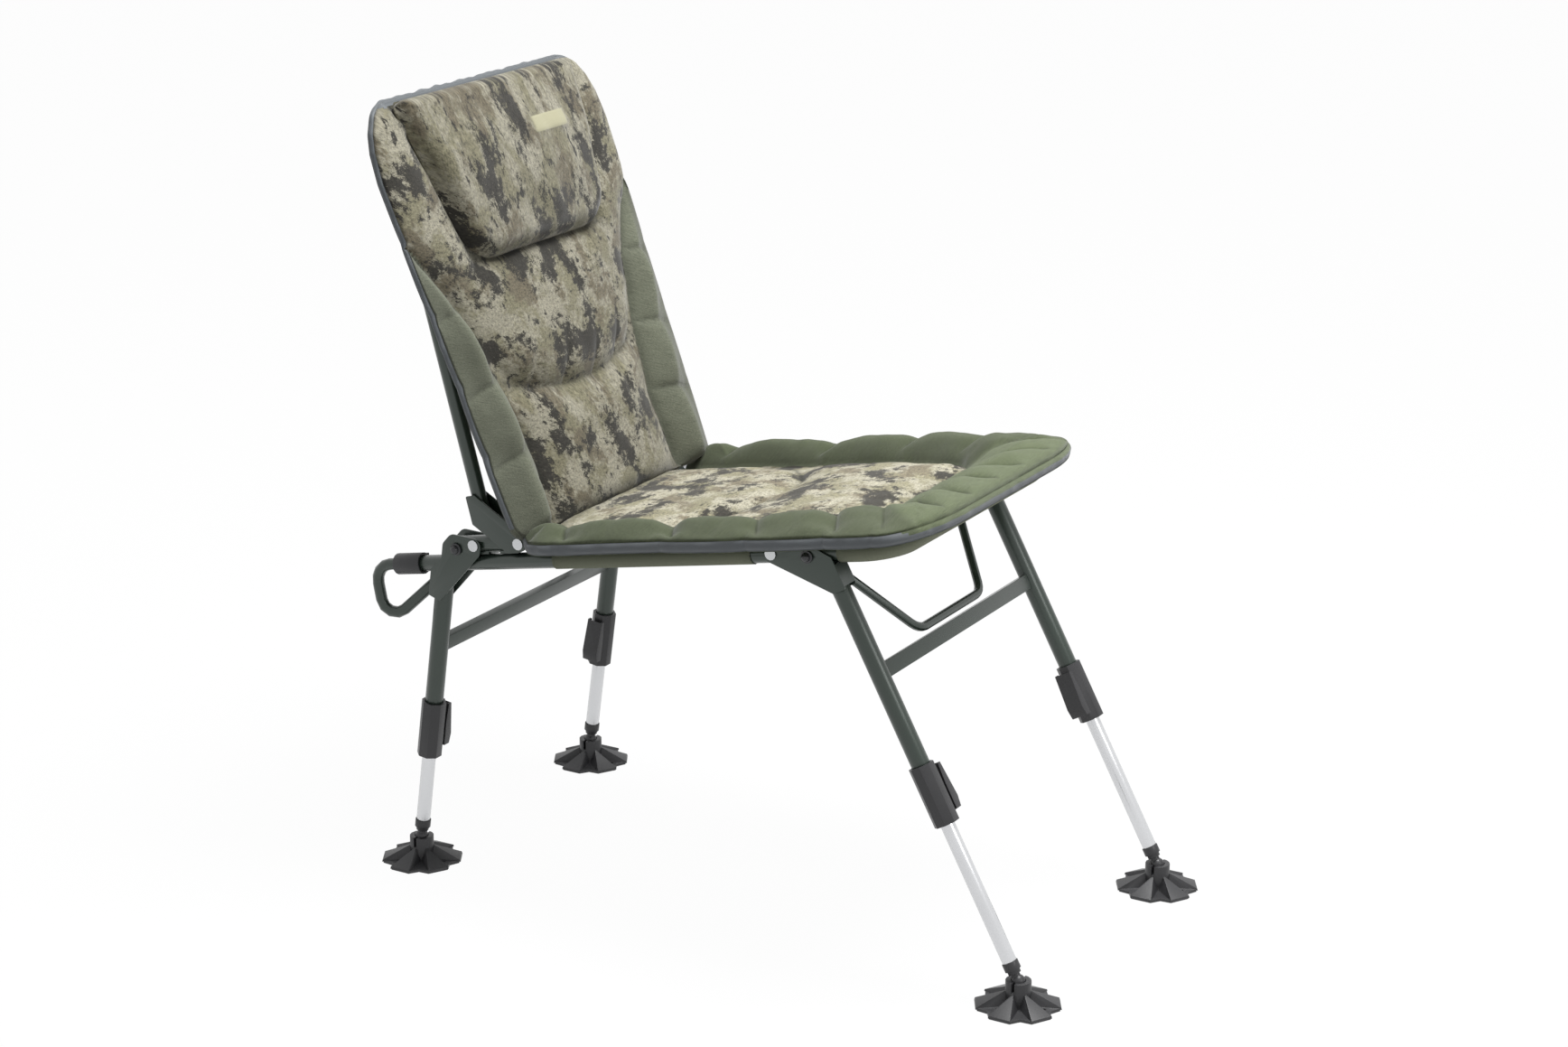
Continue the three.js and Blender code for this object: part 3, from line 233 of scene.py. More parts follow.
class Recipe:
    """Adds nodes to a tree in few words, and sets them out in rows.

    A Mix node holds its plain values in sockets 2 and 3, and its colours in 6 and 7.
    """

    columns = 8
    column_width = 220
    row_height = -260

    def __init__(self, tree):
        self.tree = tree
        self.nodes = tree.nodes
        self.made = 0

    def add(self, kind, inputs=None, **settings):
        node = self.nodes.new(kind)
        row, column = divmod(self.made, self.columns)
        node.location = (self.column_width * column, self.row_height * row)
        self.made += 1
        for key, value in settings.items():
            setattr(node, key, value)
        for key, value in (inputs or {}).items():
            self.feed(node.inputs[key], value)
        return node

    def feed(self, socket, value):
        if isinstance(value, bpy.types.NodeSocket):
            self.tree.links.new(value, socket)
        else:
            socket.default_value = value

    def math(self, operation, first, second=0.0):
        return self.add("ShaderNodeMath", {0: first, 1: second}, operation=operation).outputs[0]

    def scaled(self, value, factor, shift):
        return self.math("ADD", self.math("MULTIPLY", value, factor), shift)

    def weighted(self, first, first_weight, second, second_weight):
        scaled_first = self.math("MULTIPLY", first, first_weight)
        return self.math("ADD", scaled_first, self.math("MULTIPLY", second, second_weight))

    def between(self, share, low, high):
        """A plain value from low to high."""
        return self.add("ShaderNodeMix", {0: share, 2: low, 3: high}).outputs[0]

    def blend(self, share, first, second, blend_type="MIX"):
        """A colour from first to second."""
        node = self.add("ShaderNodeMix", {"Factor": share}, data_type="RGBA", blend_type=blend_type)
        self.feed(node.inputs[6], first)
        self.feed(node.inputs[7], second)
        return node.outputs[2]

    def tint(self, colour, shade):
        """The product of a colour and a shade."""
        return self.blend(1.0, colour, shade, "MULTIPLY")

    def step(self, value, low, high):
        """0 below low, 1 above high, and smooth between."""
        node = self.add("ShaderNodeMapRange", {0: value, 1: low, 2: high}, interpolation_type="SMOOTHSTEP")
        return node.outputs[0]

    def noise(self, vector, scale, roughness=0.55, distortion=0.0):
        inputs = {
            "Vector": vector,
            "Scale": scale,
            "Detail": NOISE_DETAIL,
            "Roughness": roughness,
            "Distortion": distortion,
        }
        return self.add("ShaderNodeTexNoise", inputs).outputs[0]

    def stretch(self, vector, scale, place=(0, 0, 0)):
        inputs = {"Vector": vector, "Scale": scale, "Location": place}
        return self.add("ShaderNodeMapping", inputs).outputs[0]

    def attribute(self, name):
        return self.add("ShaderNodeAttribute", attribute_name=name).outputs[2]

    def cloth_place(self):
        return self.add("ShaderNodeUVMap", uv_map="cloth").outputs[0]

    def object_place(self):
        return self.add("ShaderNodeTexCoord").outputs["Object"]

    def placed(self, group, vector, **values):
        """A node group in this tree, with its own values; returns its outputs."""
        node = self.add("ShaderNodeGroup", {"Vector": vector, **values}, node_tree=group)
        return node.outputs

    def surface(self, colour, roughness, height, depth, strength, **constants):
        """The Principled surface and its output; height feeds a Bump node."""
        shader = self.add("ShaderNodeBsdfPrincipled", {"Base Color": colour, "Roughness": roughness})
        named = {socket.identifier.replace(" ", "_").lower(): socket for socket in shader.inputs}
        for name, value in constants.items():
            named[name].default_value = value
        relief = self.add("ShaderNodeBump", {"Height": height, "Distance": depth, "Strength": strength})
        self.feed(shader.inputs["Normal"], relief.outputs[0])
        out = self.add("ShaderNodeOutputMaterial")
        self.feed(out.inputs[0], shader.outputs[0])


def new_group(name, inputs, outputs):
    """A shader node group with named inputs and outputs, given as (name, kind, default)."""
    group = bpy.data.node_groups.new(name, "ShaderNodeTree")
    for label, kind, default in inputs:
        socket = group.interface.new_socket(label, in_out="INPUT", socket_type=kind)
        if default is not None:
            socket.default_value = default
    for label, kind in outputs:
        group.interface.new_socket(label, in_out="OUTPUT", socket_type=kind)
    recipe = Recipe(group)
    entry = recipe.add("NodeGroupInput").outputs
    leave = recipe.add("NodeGroupOutput").inputs
    return group, recipe, entry, leave


def weave_group():
    """Plain weave: crossing threads, uneven from thread to thread."""
    group, r, entry, leave = new_group(
        "weave",
        [("Vector", "NodeSocketVector", None), ("Threads", "NodeSocketFloat", 700.0)],
        [("Height", "NodeSocketFloat"), ("Tone", "NodeSocketFloat")],
    )
    parts = r.add("ShaderNodeSeparateXYZ", {0: entry["Vector"]}).outputs
    turns = r.math("MULTIPLY", entry["Threads"], 2 * math.pi)
    across = r.math("SINE", r.math("MULTIPLY", parts[0], turns))
    along = r.math("SINE", r.math("MULTIPLY", parts[1], turns))
    crossing = r.math("MULTIPLY", across, along)
    grain = r.noise(entry["Vector"], scale=520.0, roughness=0.75)
    slub = r.noise(r.stretch(entry["Vector"], (1, 14, 1)), scale=60.0)
    r.feed(leave["Height"], r.weighted(crossing, 0.25, grain, 1.2))
    r.feed(leave["Tone"], r.weighted(grain, 0.6, slub, 0.4))
    return group


def wear_group():
    """Slow change of shade, with finer grain on top."""
    group, r, entry, leave = new_group(
        "uneven_tone",
        [
            ("Vector", "NodeSocketVector", None),
            ("Broad", "NodeSocketFloat", 18.0),
            ("Fine", "NodeSocketFloat", 420.0),
        ],
        [("Broad Tone", "NodeSocketFloat"), ("Fine Tone", "NodeSocketFloat")],
    )
    for size in ("Broad", "Fine"):
        r.feed(leave[size + " Tone"], r.noise(entry["Vector"], entry[size], roughness=0.5))
    return group


def camo_group(colours):
    """Printed fleece: ragged patches in four colours, drawn out along the cloth's length."""
    group, r, entry, leave = new_group(
        "camo_print",
        [("Vector", "NodeSocketVector", None)],
        [("Color", "NodeSocketColor"), ("Height", "NodeSocketFloat")],
    )
    fuzz = r.noise(entry["Vector"], scale=480.0, roughness=0.7)
    frayed = r.noise(entry["Vector"], scale=105.0, roughness=0.7)
    brushed = r.noise(entry["Vector"], scale=260.0, roughness=0.7)
    coarse_rag = r.math("SUBTRACT", frayed, NOISE_MIDDLE)
    fine_rag = r.math("SUBTRACT", fuzz, NOISE_MIDDLE)
    ragged = r.weighted(coarse_rag, 0.40, fine_rag, 0.34)
    print_colour = colours.camo_light[:]
    for colour, scale, place, length, edge in CAMO_PATCHES:
        drawn_out = r.stretch(entry["Vector"], (1, length, 1), place)
        field = r.noise(drawn_out, scale, roughness=0.5, distortion=0.2)
        patch = r.step(r.math("ADD", field, ragged), *edge)
        print_colour = r.blend(patch, print_colour, getattr(colours, colour)[:])
    nap = r.scaled(r.math("ADD", fuzz, brushed), factor=2.1, shift=-1.1)
    r.feed(leave["Color"], r.tint(print_colour, nap))
    r.feed(leave["Height"], fuzz)
    return group


def new_material(name):
    material = bpy.data.materials.new(name)
    material.use_nodes = True
    material.node_tree.nodes.clear()
    return Recipe(material.node_tree)


def cover_material(name, groups, colours, cloth_colour, painted_light):
    """Green weave with a satin binding at the rim, camo fleece inside the panel seam, and painted light and
    shade.
    """
    r = new_material(name)
    cloth = r.cloth_place()
    weave = r.placed(groups["weave"], cloth)
    camo = r.placed(groups["camo"], cloth)
    green = r.tint(cloth_colour[:], r.scaled(weave["Tone"], factor=2.6, shift=-0.3))
    # Painted light: the fleece is made brighter or darker by how the light falls on this pad
    fleece = r.tint(camo["Color"], grey(painted_light))
    inside = r.step(r.attribute("panel"), -PANEL_SEAM_BLUR, PANEL_SEAM_BLUR)
    tape = r.step(r.attribute("tape"), low=0.3, high=0.5)
    # Painted shade: each vertex's painted shade value blends in the fold shade colour
    shaded = r.math("MULTIPLY", r.attribute("fold"), FOLD_SHADE_SHARE)
    colour = r.blend(inside, green, fleece)
    colour = r.blend(shaded, colour, colours.fold_shade[:])
    colour = r.blend(tape, colour, colours.binding[:])
    height = r.between(inside, weave["Height"], camo["Height"])
    roughness = r.between(tape, CLOTH_ROUGHNESS, TAPE_ROUGHNESS)
    r.surface(colour, roughness, height, WEAVE_DEPTH, strength=0.55,
              sheen_weight=0.2, sheen_roughness=0.5, specular_ior_level=0.25)


def camo_material(groups, colours):
    """The pillow's fleece, darkened by painted shade, with longer streaks, and a pale plain tab sewn to it.
    """
    r = new_material("camo_fleece")
    cloth = r.cloth_place()
    camo = r.placed(groups["camo"], r.stretch(cloth, PILLOW_PRINT_SCALE, PILLOW_PRINT_PLACE))
    weave = r.placed(groups["weave"], cloth)
    tab = r.step(r.attribute("tape"), low=0.45, high=0.55)
    pale = r.tint(colours.tab[:], r.scaled(weave["Tone"], factor=0.3, shift=0.85))
    # Painted shade: the pillow's fleece is darkened as if in shade
    fleece = r.tint(camo["Color"], grey(PILLOW_PAINTED_SHADE))
    colour = r.blend(tab, fleece, pale)
    height = r.between(tab, camo["Height"], TAB_HEIGHT)
    roughness = r.between(tab, FLEECE_ROUGHNESS, TAB_ROUGHNESS)
    r.surface(colour, roughness, height, FLEECE_DEPTH, strength=0.6,
              sheen_weight=0.3, sheen_roughness=0.5, specular_ior_level=0.2)


def sling_material(groups, colours):
    """Plain green weave."""
    r = new_material("sling_cloth")
    weave = r.placed(groups["weave"], r.cloth_place())
    green = r.tint(colours.wing_green[:], r.scaled(weave["Tone"], factor=0.5, shift=0.95))
    r.surface(green, CLOTH_ROUGHNESS, weave["Height"], WEAVE_DEPTH, strength=0.5, specular_ior_level=0.25)


def paint_material(groups, colours):
    """Satin paint with a faint orange peel."""
    r = new_material("satin_paint")
    tone = r.placed(groups["tone"], r.object_place(), Broad=14.0, Fine=650.0)
    colour = r.tint(colours.paint[:], r.scaled(tone["Broad Tone"], factor=0.3, shift=0.85))
    roughness = r.scaled(tone["Broad Tone"], factor=0.06, shift=0.29)
    r.surface(colour, roughness, tone["Fine Tone"], ORANGE_PEEL_DEPTH, strength=0.03,
              metallic=0.25, coat_weight=0.5, coat_roughness=0.3)


def metal_material(name, groups, metal_colour, roughness, streak):
    """Bare metal with fine draw lines along its length."""
    r = new_material(name)
    place = r.object_place()
    lines = r.noise(r.stretch(place, streak), scale=260.0)
    tone = r.placed(groups["tone"], place, Broad=30.0, Fine=800.0)
    colour = r.tint(metal_colour[:], r.scaled(tone["Broad Tone"], factor=0.06, shift=0.95))
    lined = r.scaled(lines, factor=0.08, shift=roughness)
    r.surface(colour, lined, lines, DRAW_LINE_DEPTH, strength=0.04, metallic=0.85)


def nylon_material(name, groups, nylon_colour, roughness, coat):
    """Moulded nylon with a fine spark grain."""
    r = new_material(name)
    tone = r.placed(groups["tone"], r.object_place(), Broad=40.0, Fine=1400.0)
    colour = r.tint(nylon_colour[:], r.scaled(tone["Broad Tone"], factor=0.4, shift=0.8))
    grained = r.scaled(tone["Fine Tone"], factor=0.2, shift=roughness)
    r.surface(colour, grained, tone["Fine Tone"], SPARK_GRAIN_DEPTH, strength=0.25,
              coat_weight=coat, coat_roughness=0.12)


def make_materials(colours):
    groups = {"weave": weave_group(), "tone": wear_group(), "camo": camo_group(colours)}
    # Lit and shaded copies of one cover: painted light brightens the seat's fleece, and painted shade
    # darkens the back's
    cover_material("seat_cover", groups, colours, colours.green, SEAT_PAINTED_LIGHT)
    cover_material("back_cover", groups, colours, colours.wing_green, BACK_PAINTED_SHADE)
    camo_material(groups, colours)
    sling_material(groups, colours)
    paint_material(groups, colours)
    metal_material("bare_aluminium", groups, colours.aluminium, roughness=0.2, streak=(1, 1, 0.04))
    metal_material("plated_steel", groups, colours.plating, roughness=0.16, streak=(1, 1, 1))
    nylon_material("black_nylon", groups, colours.nylon, roughness=0.36, coat=0.1)
    nylon_material("gloss_button", groups, colours.button, roughness=0.12, coat=0.6)


# Pad building

MERGE_GAP = 1e-5
NO_TAPE = 2.0
OUTSIDE_PANEL = -1.0
TAPE_END_SHARE = 0.99
# Values stored on each vertex; the last of them is the vertex's painted shade
VERTEX_VALUES = ("u", "v", "panel", "tape", "fold")
LOBE_ROUND_SHARE, LOBE_ROUND_POWER = 0.6, 2.2
LOBE_PINCH_SHARE, LOBE_PINCH_POWER = 0.4, 9
TUCK_LINE_POWER = 14


class PadShape:
    """A pad's outline and heights: x runs across, y up its length, from the pad's own middle."""

    rim_wave = 0.02
    rim_seed = 0
    rim_swell_share = 0.0
    wall_tape_share = 0.06
    slack_waves = ()

    def __init__(self, half_width, low, high, corners, grid_size):
        self.half_width = half_width
        self.low = low
        self.high = high
        self.corners = corners
        self.columns = round(half_width * 2 / grid_size)
        self.rows = round((high - low) / grid_size)

    def flat(self, u, v):
        """The unrounded place of a grid point, u and v from -1 to 1."""
        y = mix(self.low, self.high, (v + 1) / 2)
        return u * self.half_width, y

    def warp(self, x, y):
        """Draws the corners of the rectangle in to oval ones, each given as (width, depth)."""
        result_x, result_y = x.copy(), y.copy()
        for sign, (width, depth) in ((-1, self.corners[0]), (1, self.corners[1])):
            end = self.low if sign < 0 else self.high
            dx = (np.abs(x) - (self.half_width - width)) / width
            dy = ((y - end) * sign + depth) / depth
            inside = (dx > 0) & (dy > 0)
            share = np.where(inside, np.maximum(dx, dy) / np.maximum(np.hypot(dx, dy), TINY), 1)
            moved_x = np.sign(x) * (self.half_width - width + dx * share * width)
            moved_y = end + (dy * share - 1) * depth * sign
            result_x = np.where(inside, moved_x, result_x)
            result_y = np.where(inside, moved_y, result_y)
        return result_x, result_y

    def spread(self, y):
        """How much wider or narrower than half_width the pad is at y."""
        raise NotImplementedError

    def outline(self, u, v):
        x, y = self.flat(u, v)
        round_x, round_y = self.warp(x, y)
        return round_x * self.spread(round_y), round_y

    def slack(self, x, y):
        """Unevenness of the stuffing, from waves given as (width, height, seed)."""
        return sum(uneven(x, y, width, seed) * height for width, height, seed in self.slack_waves)

    def rim_swell(self, u, v):
        """How much the rim's bulge varies along the rim."""
        x, y = self.flat(u, v)
        return 1 + self.rim_swell_share * uneven(x, y, self.rim_wave, self.rim_seed)

    def rim_panel(self, u, v):
        """The panel distance on the side wall: outside the panel unless a pad says otherwise."""
        return np.full_like(u, OUTSIDE_PANEL)

    def tape_start(self, u, v):
        """Where on the side wall the tape starts, as a share of the drop."""
        return np.full_like(u, self.wall_tape_share)

    def face_tape(self, u, v):
        """1 where the tape laps over the face of the pad."""
        return np.zeros_like(u)

    def fold(self, u, v):
        """Painted shade, from 0 to 1: 1 in the depth of a seam or tuck, and on faces that the light reaches
        weakly.
        """
        return np.zeros_like(u)

    def top(self, u, v):
        """The height of the face, and the distance inside the camo panel's seam."""
        raise NotImplementedError

    def floor(self, u, v):
        """The height of the underside."""
        raise NotImplementedError


def outward(shape, u, v):
    """The level direction that leads out of the pad at a rim point."""
    step = 0.02
    tangent_u = np.where(np.abs(v) > 1 - TINY, step, 0) * np.sign(-v)
    tangent_v = np.where(np.abs(u) > 1 - TINY, step, 0) * np.sign(u)
    ahead = shape.outline(np.clip(u + tangent_u, -1, 1), np.clip(v + tangent_v, -1, 1))
    behind = shape.outline(np.clip(u - tangent_u, -1, 1), np.clip(v - tangent_v, -1, 1))
    along_x, along_y = ahead[0] - behind[0], ahead[1] - behind[1]
    length = np.maximum(np.hypot(along_x, along_y), TINY)
    return along_y / length, -along_x / length


def set_values(verts, layers, **values):
    """Stores one number per vertex in each named layer."""
    for name, numbers in values.items():
        layer = layers[name]
        for vert, number in zip(verts, numbers):
            vert[layer] = number


def move_verts(verts, x, y, z):
    for vert, place in zip(verts, zip(x, y, z)):
        vert.co = place


def flat_grid(bm, shape, layers):
    """A square grid in a pad's columns and rows, with u and v from -1 to 1 stored on it."""
    made = bmesh.ops.create_grid(bm, x_segments=shape.columns, y_segments=shape.rows, size=1)
    verts = made["verts"]
    u = np.array([vert.co.x for vert in verts])
    v = np.array([vert.co.y for vert in verts])
    set_values(verts, layers, u=u, v=v)
    return verts, u, v


def rim_ring(bm, edges, shape, layers, out, drop):
    """Draws the side wall down by one ring from its last edges, and returns the ring's edges."""
    made = bmesh.ops.extrude_edge_only(bm, edges=edges)["geom"]
    ring = [item for item in made if isinstance(item, bmesh.types.BMVert)]
    u = np.array([vert[layers["u"]] for vert in ring])
    v = np.array([vert[layers["v"]] for vert in ring])
    x, y = shape.outline(u, v)
    out_x, out_y = outward(shape, u, v)
    swell = out * shape.rim_swell(u, v)
    z = mix(shape.top(u, v)[0], shape.floor(u, v), drop)
    move_verts(ring, x + out_x * swell, y + out_y * swell, z)
    tape = (drop > shape.tape_start(u, v)) * (drop < TAPE_END_SHARE)
    set_values(ring, layers, panel=shape.rim_panel(u, v), tape=tape.astype(float))
    drawn = [item for item in made if isinstance(item, bmesh.types.BMEdge)]
    on_ring = set(ring)
    return [edge for edge in drawn if edge.is_boundary and on_ring.issuperset(edge.verts)]


def padded_form(name, shape, rim, place, material):
    """A closed pad: a top grid, rim rings from (outward, share of the drop) and an underside."""
    bm = bmesh.new()
    for value in VERTEX_VALUES:
        bm.verts.layers.float.new(value)
    layers = {value: bm.verts.layers.float[value] for value in VERTEX_VALUES}
    top_verts, u, v = flat_grid(bm, shape, layers)
    z, panel = shape.top(u, v)
    move_verts(top_verts, *shape.outline(u, v), z)
    # The top stores each vertex's painted shade with its panel and tape values
    set_values(top_verts, layers, panel=panel, tape=shape.face_tape(u, v), fold=shape.fold(u, v))
    edges = [edge for edge in bm.edges if edge.is_boundary]
    for out, drop in rim:
        edges = rim_ring(bm, edges, shape, layers, out, drop)
    floor_verts, u, v = flat_grid(bm, shape, layers)
    move_verts(floor_verts, *shape.outline(u, v), shape.floor(u, v))
    set_values(floor_verts, layers, panel=np.full_like(u, OUTSIDE_PANEL))
    bmesh.ops.remove_doubles(bm, verts=bm.verts, dist=MERGE_GAP)
    bmesh.ops.recalc_face_normals(bm, faces=bm.faces)
    uv = bm.loops.layers.uv.new("cloth")
    for face in bm.faces:
        face.smooth = True
        for loop in face.loops:
            loop[uv].uv = (loop.vert.co.x, loop.vert.co.y + loop.vert.co.z)
    bmesh.ops.transform(bm, matrix=place, verts=bm.verts)
    return finished_object(bm, name, material)


def new_object(name, data):
    """An object in the scene that holds a mesh, a lamp or a camera."""
    holder = bpy.data.objects.new(name, data)
    bpy.context.scene.collection.objects.link(holder)
    return holder


def finished_object(bm, name, material):
    mesh = bpy.data.meshes.new(name)
    bm.to_mesh(mesh)
    bm.free()
    mesh.materials.append(bpy.data.materials[material])
    return new_object(name, mesh)


def off_middle(along, places):
    """0 in the middle of the stretch between two tucks, and 1 at the tucks."""
    index = np.clip(np.searchsorted(places, along) - 1, 0, len(places) - 2)
    low, high = np.take(places, index), np.take(places, index + 1)
    share = np.clip((along - low) / (high - low), 0, 1)
    return np.abs(2 * share - 1)


def lobes(along, places):
    """Puffed stretches between sewn tucks: 1 in the middle of a stretch and 0 at its tucks."""
    off = off_middle(along, places)
    return 1 - LOBE_ROUND_SHARE * off ** LOBE_ROUND_POWER - LOBE_PINCH_SHARE * off ** LOBE_PINCH_POWER


def tuck_line(along, places):
    """1 on a tuck, fading out within a few millimetres."""
    return off_middle(along, places) ** TUCK_LINE_POWER


def soft_max(first, second, reach):
    """The larger of two heights, rounded where they cross."""
    share = np.clip(0.5 + 0.5 * (second - first) / reach, 0, 1)
    return mix(first, second, share) + reach * share * (1 - share)


def rounded_inside(first, second, radius):
    """Distance inside a round corner, from the distances inside its two sides."""
    over_first, over_second = np.maximum(radius - first, 0), np.maximum(radius - second, 0)
    past_corner = np.maximum(np.minimum(first, second) - radius, 0)
    return radius - np.hypot(over_first, over_second) + past_corner


# Rings of a bound rim, each as (outward, share of the drop)
RIM_RINGS = (
    (-0.0010, 0.05),
    (0.0008, 0.14),
    (0.0022, 0.35),
    (0.0026, 0.58),
    (0.0016, 0.80),
    (-0.0008, 0.93),
    (0.0, 1.0),
)

# The seat pad


class SeatPadShape(PadShape):
    """Green border roll round a lower camo panel of two pillows."""

    # The outline and its rim
    front_corner_share = 0.5
    rear_corner = (0.055, 0.075)
    waist_share = 0.030
    waist_station = 0.24
    waist_reach = 0.10
    side_tuck_share = 0.016
    rim_wave = 0.024
    rim_seed = 3
    rim_swell_share = 0.9
    front_tape_share = 0.55
    front_tape_gaps = (0.03, 0.005)

    # The roll; its powers are for the sides and then for the front
    edge_top = 0.030
    valley = 0.0160
    valley_share = 0.35
    front_crest_drop = 0.006
    rear_crest_rise = 0.016
    rear_crest_stations = (0.075, 0.11)
    crest_lean_powers = (1.45, 0.72)
    crest_round_powers = (0.55, 0.65)
    corner_blend = 0.03
    slack_waves = ((0.045, 0.0026, 1), (0.018, 0.0010, 2))
    slack_share = 0.1
    rear_fall = (-0.03, 0.02)
    rear_roll_share = 0.85
    rear_roll_reach = 0.02
    least_thickness = 0.006

    # The tucks of the roll, along the sides and across the front
    side_tucks = (-0.02, 0.140, 0.305, 0.435, 0.548, 0.615, 0.75)
    side_depth_shares = (0.2, 1.2, 1.6, 0.9, 1.25, 0.8, 0.2)
    side_tuck_slope = 0.45
    side_tuck_middle = 0.04
    side_tuck_end_shares = (0.6, 0.98)
    front_tucks = (-0.40, -0.25, -0.165, -0.095, -0.018, 0.055, 0.14, 0.215, 0.40)
    front_depth_shares = (0.6, 1.7, 1.2, 1.6, 1.3, 1.7, 1.2, 1.7, 0.6)
    front_tuck_slope = 0.12
    front_tuck_middle = 0.06
    front_tuck_end_shares = (0.9, 1)
    fan_share = 0.66
    tuck_blend = 0.012
    tuck_rim_share = 0.25

    # The panel and the seam across it
    panel_corner = 0.03
    panel_stations = (0.2, 0.45, 0.557, 0.62)
    panel_halves = (0.188, 0.171, 0.142, 0.12)
    panel_crown = 0.0215
    panel_round = 0.033
    seam_station = 0.345
    seam_bow = 0.07
    seam_half = 0.16
    seam_round = 0.027
    seam_depth_share = 0.95
    seam_middle_share = 0.55
    seam_side = 0.15

    # Painted shade: in the folds and seams, on the side rolls and at the rear end
    line_end_shares = (0.6, 0.95)
    line_rim_shares = (0.02, 0.12)
    wall_shade_shares = (0.5, 0.25)
    wall_reach_shares = (0.5, 0.8)
    shade_width = 0.005
    panel_shade_share = 0.85
    cross_shade_share = 0.95
    cross_shade_inside = 0.01
    cross_shade_side = 0.1
    rear_shade_share = 0.8
    rear_shade_length = 0.06

    def __init__(self, padding):
        self.padding = padding
        front_corner = (padding.seat_corner, padding.seat_corner * self.front_corner_share)
        corners = (front_corner, self.rear_corner)
        low, high = -padding.seat_front, -padding.seat_rear
        super().__init__(padding.seat_half_width, low, high, corners, padding.grid_size)

    def spread(self, y):
        """The sides draw in at a waist and where the rolls are tucked."""
        waist = self.waist_share * bump(-y - self.waist_station, self.waist_reach)
        return 1 - (waist + self.side_tuck_share * (1 - lobes(-y, self.side_tucks)))

    def tape_start(self, u, v):
        """The tape covers the whole side wall, but only the lower part in front."""
        y = self.flat(u, v)[1]
        start, end = (self.padding.seat_front - gap for gap in self.front_tape_gaps)
        return mix(self.wall_tape_share, self.front_tape_share, smooth(-y, start, end))

    def seen_from_rim(self, x, station):
        """Distances from the side and the front, inside the panel, and the share across the roll."""
        side = self.padding.seat_half_width - np.abs(x)
        front = self.padding.seat_front - station
        panel = self.panel_inside(x, station)
        rim = np.minimum(side, front)
        share = np.clip(rim / np.maximum(rim + np.maximum(-panel, 0), TINY), 0, 1)
        return side, front, panel, share

    def panel_inside(self, x, station):
        """Distance inside the camo panel's seam; below 0 outside it."""
        side = np.interp(station, self.panel_stations, self.panel_halves) - np.abs(x)
        front = self.padding.seat_front - self.padding.front_border - station
        inside = rounded_inside(side, front, self.panel_corner)
        nearest = np.minimum(side, front)
        return np.where(nearest < 0, np.minimum(inside, nearest), inside)

    def seam_gap(self, x, station):
        """Distance from the seam between the panel's two pillows, which bows towards the back."""
        return station - (self.seam_station - self.seam_bow * (np.abs(x) / self.seam_half) ** 2)

    def top(self, u, v):
        x, y = self.flat(u, v)
        station = -y
        side, front, panel, share = self.seen_from_rim(x, station)
        in_front = smooth(side - front, -self.corner_blend, self.corner_blend)
        z = self.roll_height(station, share, in_front) + self.panel_rise(x, station, panel)
        z -= self.tuck_depth(x, station, side, front, share)
        z += self.slack(x, y) * smooth(share, 0, self.slack_share)
        on_roll = self.rear_roll_share * smooth(-panel, 0, self.rear_roll_reach)
        rear = smooth(station - self.padding.seat_rear, *self.rear_fall)
        low = self.padding.pad_floor + self.least_thickness
        return np.maximum(mix(low, z, mix(rear, 1.0, on_roll)), low), panel

    def roll_height(self, station, share, in_front):
        """The roll rises from its edge to a crest and falls to the valley at the panel's seam."""
        top = self.padding.roll_crest
        crest = mix(top, top - self.front_crest_drop, in_front)
        rear_crest = self.edge_top + self.rear_crest_rise
        crest = mix(rear_crest, crest, smooth(station, *self.rear_crest_stations))
        lean = mix(*self.crest_lean_powers, in_front)
        profile = np.sin(np.pi * share ** lean) ** mix(*self.crest_round_powers, in_front)
        base = mix(self.edge_top, self.valley, smooth(share, self.valley_share, 1))
        return base + (crest - self.edge_top) * profile

    def panel_rise(self, x, station, panel):
        """The two pillows of the panel, each rising away from its seams."""
        gap = np.abs(self.seam_gap(x, station))
        depth = mix(self.seam_middle_share, 1.0, smooth(np.abs(x), 0, self.seam_side))
        near_seam = mix(1.0, 1 - fade(gap, self.seam_round), self.seam_depth_share * depth)
        return self.panel_crown * (1 - fade(panel, self.panel_round)) * near_seam

    def tuck_places(self, x, station, side, front, share):
        """Where a point lies along the side tucks and the front tucks, and how far it is in front."""
        along = station + self.side_tuck_slope * (side - self.side_tuck_middle)
        fanned = x / mix(1.0, self.fan_share, share)
        across = fanned + self.front_tuck_slope * (front - self.front_tuck_middle)
        return along, across, smooth(side - front, -self.tuck_blend, self.tuck_blend)

    def tuck_depth(self, x, station, side, front, share):
        """The rolls sink at the tucks, which fan out round the front corners."""
        rim = smooth(share, 0, self.tuck_rim_share)
        along, across, in_front = self.tuck_places(x, station, side, front, share)
        side_depths = np.interp(along, self.side_tucks, self.side_depth_shares)
        sides = (1 - lobes(along, self.side_tucks)) * side_depths
        front_depths = np.interp(across, self.front_tucks, self.front_depth_shares)
        fronts = (1 - lobes(across, self.front_tucks)) * front_depths
        side_end = 1 - smooth(share, *self.side_tuck_end_shares)
        front_end = 1 - smooth(share, *self.front_tuck_end_shares)
        lap = mix(rim * side_end, rim * front_end, in_front)
        return self.padding.pucker_depth * mix(sides, fronts, in_front) * lap
